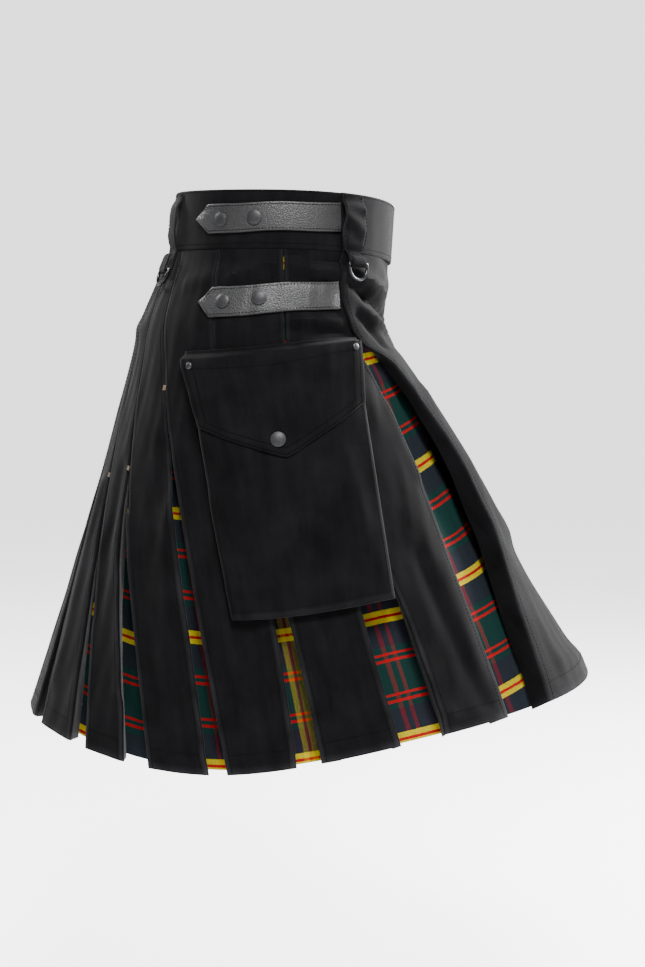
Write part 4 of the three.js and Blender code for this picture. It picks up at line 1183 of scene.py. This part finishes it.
def flap_place(u, v):
    """Angle, down and lift of the flap's lower side; v runs from -1 at the sewn edge to 1."""
    u, v = np.broadcast_arrays(np.asarray(u, float), np.asarray(v, float))
    off = np.abs(u - 0.5)
    narrow = 0.025 * np.maximum(v, 0) * np.sign(u - 0.5) * smoothstep(off, 0.3, 0.5)
    step = lerp(POCKET["top_fore"][1], POCKET["top_aft"][1], u) - FLAP_ABOVE + FLAP_STEP
    end = lerp(FLAP_POINT, FLAP_SIDE, np.sqrt((off * 2) ** 2 + 0.0009))
    down = np.where(v < 0, step + v * FLAP_STEP, lerp(step, end, np.maximum(v, 0)))
    angle = on_pocket(u - narrow, np.maximum(0, (down - 180) / 275))[0]
    low = lerp(SEAT, FLAP_FACE - FLAP_WALL, smoothstep(v, -0.85, 0.08))
    pucker = (0.5 * np.sin(u * 31 + 1) * hump(v, 0, 0.25) + 0.45 * np.sin(u * 9 + v * 4)
              - 1.0 * hump(u, 0.4, 0.05) * smoothstep(v, 0.3, 0.75)
              + 0.8 * hump(u, 0.61, 0.06) * smoothstep(v, 0.2, 0.7)) * smoothstep(v, -0.3, 0.2)
    calm = 1 - hump(u, 0.5, 0.07) * hump(v, 0.82, 0.2)
    return angle, down, low + np.maximum(pucker, -0.25) * calm


# %% Making a flap
def flap(word, side):
    across = np.concatenate([[-0.012, -0.007, 0.004], np.linspace(0.02, 0.98, 47), [0.996, 1.007, 1.012]])
    v = np.concatenate([[-1, -0.96], np.linspace(-0.85, 0.1, 9), np.linspace(0.15, 0.96, 28), [0.985, 1]])
    v = v[:, None]
    angle, down, low = flap_place(across[None, :], v)
    side_rim = np.clip(np.minimum(across + 0.012, 1.012 - across) / 0.016, 0, 1)[None, :]
    end_rim = np.clip(np.minimum((1 - v) / 0.03, (v + 1) / 0.06), 0, 1)
    rim = np.sqrt(np.clip(1 - (1 - side_rim * end_rim) ** 2, 0, 1))
    # the stitching draws two shallow grooves along the edge
    off = np.abs(across - 0.5)[None, :]
    from_edge = np.minimum(np.minimum(0.5 - off + 0.012, 1) * 150, (1 - v) * (100 - 45 * off * 2))
    groove = hump(from_edge, 9.5, 1.6) + hump(from_edge, 2.4, 1.2)
    high = low + FLAP_WALL * (0.35 + 0.65 * rim) - 0.3 * groove * (v > 0)
    points = there_and_back(at(angle, down, high, side), at(angle, down, low, side))
    u = (across[None, :] - 0.5) * FLAP_WIDTH + 3
    uv = np.stack(np.broadcast_arrays(there_and_back(u, u), there_and_back(down, down)), -1)
    # the flap is painted paler towards its rounded rim: partly scuffing, partly a painted highlight
    rub_and_highlight = there_and_back(0.14 * (1 - rim), 0 * rim)
    node = f"pocket_flap_{word}"
    made = mesh_object(node + "_cloth", points, tube_faces(*points.shape[:2], side < 0), uv, DRILL, rub_and_highlight, 50)
    stands_for(made, node)

    def stitch(u, v):
        a, d, l = flap_place(u, v)
        return at(a, d, l + FLAP_WALL + 0.02, side)

    for inset in FLAP_SEAMS:
        rim_u = inset / FLAP_WIDTH
        steps = np.linspace(0.0, 1, 26) * (1 - inset / FLAP_DEEP)
        u = np.linspace(rim_u, 1 - rim_u, 50)
        point_v = 1 - inset / (FLAP_DEEP + FLAP_DEEPER * (1 - 2 * np.abs(u - 0.5)))
        EDGES.append(np.concatenate([
            stitch(rim_u, steps), stitch(u, point_v), stitch(1 - rim_u, steps)[::-1]]))
    for v in (-0.72, 0.12):
        EDGES.append(stitch(np.linspace(0.01, 0.99, 44), v))


for side, word in SIDES:
    flap(word, side)
print("lines to stitch:", len(EDGES))

# %% [markdown]
# ## Snaps and rivets
# One turned cap serves every snap, and a smaller domed one every rivet. The points where they
# sit carry the outward direction, and a node group sets a cap on each.

# %% A turned cap
def lathe(name, profile, sides=40):
    """Turns a profile of radius and height, in mm, and closes both its ends."""
    turn = np.linspace(0, 2 * math.pi, sides, endpoint=False)
    points = np.array([[(r * math.cos(t), r * math.sin(t), h) for t in turn] for r, h in profile]) / 1000
    top = (len(profile) - 1) * sides
    faces = [(i + k, i + (k + 1) % sides, i + sides + (k + 1) % sides, i + sides + k)
             for i in range(0, top, sides) for k in range(sides)]
    faces += [tuple(range(sides))[::-1], tuple(range(top, top + sides))]
    mesh = bpy.data.meshes.new(name)
    mesh.from_pydata(points.reshape(-1, 3).tolist(), [], faces)
    mesh.shade_smooth()
    mesh.set_sharp_from_angle(angle=math.radians(50))
    return bpy.data.objects.new(name, mesh)


# %% Node groups that set a shape on every point
def growth_group(name, inputs):
    geometry = ("Geometry", "NodeSocketGeometry")
    return new_group(name, [(*geometry, None), *inputs, ("Finish", "NodeSocketMaterial", None)],
                     [geometry], "GeometryNodeTree")


def set_on(tree, given, out, points, shape, direction, size):
    """Puts the shape on the points, its Z along the direction, as real faces with a material."""
    turned = put(tree, "FunctionNodeAlignRotationToVector", {"axis": "Z"}, {"Vector": direction})
    placed = put(tree, "GeometryNodeInstanceOnPoints", inputs={
        "Points": points, "Instance": shape, "Rotation": turned.outputs[0], "Scale": size})
    real = put(tree, "GeometryNodeRealizeInstances", inputs={0: placed.outputs[0]})
    done = put(tree, "GeometryNodeSetMaterial", inputs={
        "Geometry": real.outputs[0], "Material": given["Finish"]})
    tree.links.new(done.outputs[0], out["Geometry"])
    return tree


tree, given, out = growth_group("Caps on points", [
    ("Cap", "NodeSocketObject", None), ("Size", "NodeSocketFloat", 1.0)])
cap = put(tree, "GeometryNodeObjectInfo", inputs={"Object": given["Cap"]}).outputs["Geometry"]
aim = put(tree, "GeometryNodeInputNamedAttribute", {"data_type": "FLOAT_VECTOR"}, {"Name": "out"})
CAPS = set_on(tree, given, out, given["Geometry"], cap, aim.outputs[0], given["Size"])


# %% Running a node group
def grown(name, points, group, inputs, edges=(), out=None):
    """Runs a node group on plain points and keeps what it makes as a plain mesh."""
    mesh = bpy.data.meshes.new(name + "_base")
    mesh.from_pydata(np.asarray(points).reshape(-1, 3).tolist(), list(edges), [])
    if out is not None:
        attribute = mesh.attributes.new("out", "FLOAT_VECTOR", "POINT")
        attribute.data.foreach_set("vector", np.asarray(out, np.float32).ravel())
    base = bpy.data.objects.new(name + "_base", mesh)
    bpy.context.scene.collection.objects.link(base)
    modifier = base.modifiers.new("grow", "NODES")
    modifier.node_group = group
    for item in group.interface.items_tree:
        if item.item_type == "SOCKET" and item.in_out == "INPUT" and item.name in inputs:
            modifier[item.identifier] = inputs[item.name]
    base.update_tag()
    graph = bpy.context.evaluated_depsgraph_get()
    result = bpy.data.meshes.new_from_object(base.evaluated_get(graph), depsgraph=graph)
    base.modifiers.clear()
    bpy.data.objects.remove(base)
    result.name = name
    made = bpy.data.objects.new(name, result)
    bpy.context.scene.collection.objects.link(made)
    print(name, "faces:", len(result.polygons))
    return made


# %% Snaps on the straps and flaps
# angle, place down and lift
SNAPS = {"waist_snap_1": (99.9, 31, STRAPS["waist_strap"][-1] + STRAP_WALL),
         "waist_snap_2": (114.9, 33, STRAPS["waist_strap"][-1] + STRAP_WALL),
         "hip_snap_1": (97.3, 116, STRAPS["hip_strap"][-1] + STRAP_WALL),
         "hip_snap_2": (111.1, 119, STRAPS["hip_strap"][-1] + STRAP_WALL),
         "pocket_snap": (89.9, 269, FLAP_FACE)}
snap_cap = lathe("snap_cap", [
    (7.9, 0), (8.0, 0.3), (8.0, 0.75), (7.75, 1.05), (7.3, 1.2), (7.0, 1.15), (6.7, 1.35),
    (5.9, 1.75), (4.6, 2.1), (3.0, 2.36), (1.4, 2.5), (0.3, 2.54)])
rivet_cap = lathe("rivet_cap", [
    (3.8, 0), (3.85, 0.4), (3.5, 0.95), (2.6, 1.5), (1.3, 1.8), (0.2, 1.88)], 28)


def caps(name, cap, places, finish):
    """Caps at places given as angle, down, lift and side."""
    angle, down, lift, side = np.array(places, float).T
    points = np.array([at(a, d, l, s) for a, d, l, s in zip(angle, down, lift, side)])
    aims = outward(angle, down)
    aims[:, 0] *= side
    made = grown(name, points, CAPS, {"Cap": cap, "Size": 1.0, "Finish": finish}, out=aims)
    bpy.data.objects.remove(cap)
    return made


places = [(angle, down, lift + 0.3, side) for side, _ in SIDES for angle, down, lift in SNAPS.values()]
snaps = caps("snap_caps", snap_cap, places, SNAP_METAL)
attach(snaps, "kilt")
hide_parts(*(f"{name}_{word}" for _, word in SIDES for name in SNAPS))

# %% Rivets at the pockets' upper corners
corners = [flap_place(u, 0.08) for u in (0.045, 0.955)]
places = [(a, d, l + FLAP_WALL - 0.1, side) for side, _ in SIDES for a, d, l in corners]
rivets = caps("rivets", rivet_cap, places, RIVET_METAL)
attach(rivets, "kilt")

# %% [markdown]
# ## Sewing
# A seam is a row of short bulges of thread, each with a small gap before the next. Seam lines are
# taken from the pieces' own outer points, and a node group lays a stitch at each step.

# %% Stitches along lines
tree, given, out = growth_group("Stitch rows", [
    ("Pitch", "NodeSocketFloat", 0.0036), ("Stitch", "NodeSocketFloat", 0.0027),
    ("Thread", "NodeSocketFloat", 0.00055)])
seam = put(tree, "GeometryNodeMeshToCurve", inputs={0: given["Geometry"]}).outputs[0]
evenly = put(tree, "GeometryNodeResampleCurve", {"mode": "LENGTH"}, {
    "Curve": seam, "Length": given["Pitch"]}).outputs[0]
along = put(tree, "GeometryNodeInputTangent").outputs[0]
bead = put(tree, "GeometryNodeMeshUVSphere", inputs={"Segments": 5, "Rings": 4, "Radius": 0.5})
size = put(tree, "ShaderNodeCombineXYZ", inputs={
    0: given["Thread"], 1: given["Thread"], 2: given["Stitch"]}).outputs[0]
STITCHES = set_on(tree, given, out, evenly, bead.outputs["Mesh"], along, size)


def sewn(name, lines, pitch, stitch, thread, finish, slot):
    """Stitches along lines. Pitch, length and thickness of the thread are in metres."""
    points, edges = [], []
    for path in lines:
        start = len(points)
        points.extend(np.asarray(path).reshape(-1, 3).tolist())
        edges.extend((i, i + 1) for i in range(start, len(points) - 1))
    made = grown(name, points, STITCHES, {
        "Pitch": pitch, "Stitch": stitch, "Thread": thread, "Finish": finish}, edges)
    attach(made, "kilt")


# %% Seams of the panels, aprons and band
panel_seams, hem_seams = [], []
for node, (_, points, _, _) in PIECES.items():
    if node.startswith("panel") or node == "outer_apron":
        first = BACK + BEND
        last = points.shape[1] - 1 - first if node != "outer_apron" else points.shape[1] - 15
        panel_seams += [points[1:-1, first], points[1:-1, last]]
        hem_seams.append(points[HEM_ROW, first:last + 1])
band = PIECES["waistband"][1]
hem_seams += [band[12], band[2]]
sewn("panel_stitches", panel_seams, 0.0040, 0.0031, 0.0008, THREAD, "drill")
sewn("hem_stitches", hem_seams, 0.0040, 0.0031, 0.0008, THREAD, "drill")
sewn("edge_stitches", EDGES, 0.0036, 0.0028, 0.0009, THREAD, "leather")

# %% [markdown]
# A pleat is held shut down to a bar tack, a few close stitches across it in paler thread.

# %% Bar tacks where the sewn pleats end
TACKS = [("p4", 200), ("p5", 296), ("p6", 312), ("p7", 300), ("p3", 190)]
TACK_HALF, TACK_STEP = 1.9, 1.1
tacks = []
for side, _ in SIDES:
    for name, down in TACKS:
        here = opening(name, np.array([float(down + (side < 0) * 6)]))
        across = here["middle"] + np.array([-TACK_HALF, 0, TACK_HALF]) / here["mm"]
        tacks += [at(across, down + k * TACK_STEP, np.array([0.1, 0.35, 0.1]), side) for k in range(5)]
sewn("bar_tacks", tacks, 0.0012, 0.0016, 0.0007, TACK_THREAD, "drill")

# %% [markdown]
# ## Floor and light
# A plain pale floor well below the hem, in a pale room. Both glow for the camera alone, so the
# background stays even and pale while the black cloth isn't flooded with light from all round.
# Three soft lamps do the lighting: one at the wearer's left front, which lights the apron's face,
# one above the camera for the hip, and a weaker one on the far side.

# %% Floor and room
FLOOR_HALF, FLOOR_DOWN = 9, -1.0
floor_mesh = bpy.data.meshes.new("floor")
floor_mesh.from_pydata([(x * FLOOR_HALF, y * FLOOR_HALF, FLOOR_DOWN)
                        for x, y in ((-1, -1), (1, -1), (1, 1), (-1, 1))], [], [(0, 1, 2, 3)])
floor = bpy.data.objects.new("floor", floor_mesh)
bpy.context.scene.collection.objects.link(floor)
paper = bpy.data.materials.new("paper")
paper.use_nodes = True
tree = paper.node_tree
shader = tree.nodes["Principled BSDF"].inputs
shader["Base Color"].default_value = (0.92, 0.92, 0.92, 1)
shader["Roughness"].default_value = 0.9
shader["Emission Color"].default_value = (1, 1, 1, 1)
seen = put(tree, "ShaderNodeLightPath").outputs["Is Camera Ray"]
tree.links.new(maths(tree, "MULTIPLY", seen, 1.74), shader["Emission Strength"])
floor_mesh.materials.append(paper)
world = bpy.data.worlds.new("studio")
world.use_nodes = True
tree = world.node_tree
seen = put(tree, "ShaderNodeLightPath").outputs["Is Camera Ray"]
tree.nodes["Background"].inputs["Color"].default_value = (1, 1, 1, 1)
tree.links.new(scaled(tree, seen, 1.7, 0.5), tree.nodes["Background"].inputs["Strength"])
bpy.context.scene.world = world


# %% Lamps
def lamp(name, place, aim, size, power):
    """A square soft lamp at a place, turned to face a point."""
    data = bpy.data.lights.new(name, "AREA")
    data.shape = "SQUARE"
    data.size = data.size_y = size
    data.energy = power
    made = bpy.data.objects.new(name, data)
    bpy.context.scene.collection.objects.link(made)
    made.location = place
    direction = np.array(aim) - np.array(place)
    tip = math.atan2(math.hypot(direction[0], direction[1]), -direction[2])
    made.rotation_euler = (tip, 0, math.atan2(-direction[0], direction[1]))


lamp("front_lamp", (1.1, -2.0, 0.9), (-0.05, -0.1, -0.3), 1.0, 330)
lamp("camera_lamp", (-1.9, -0.3, 1.9), (-0.1, 0, -0.2), 0.8, 190)
lamp("far_lamp", (1.4, 2.0, 1.6), (0.05, 0.05, -0.3), 0.9, 130)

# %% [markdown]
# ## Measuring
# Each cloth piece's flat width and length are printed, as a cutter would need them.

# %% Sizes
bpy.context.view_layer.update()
for node, (_, _, width, length) in PIECES.items():
    print("cut", node, width, "x", length)
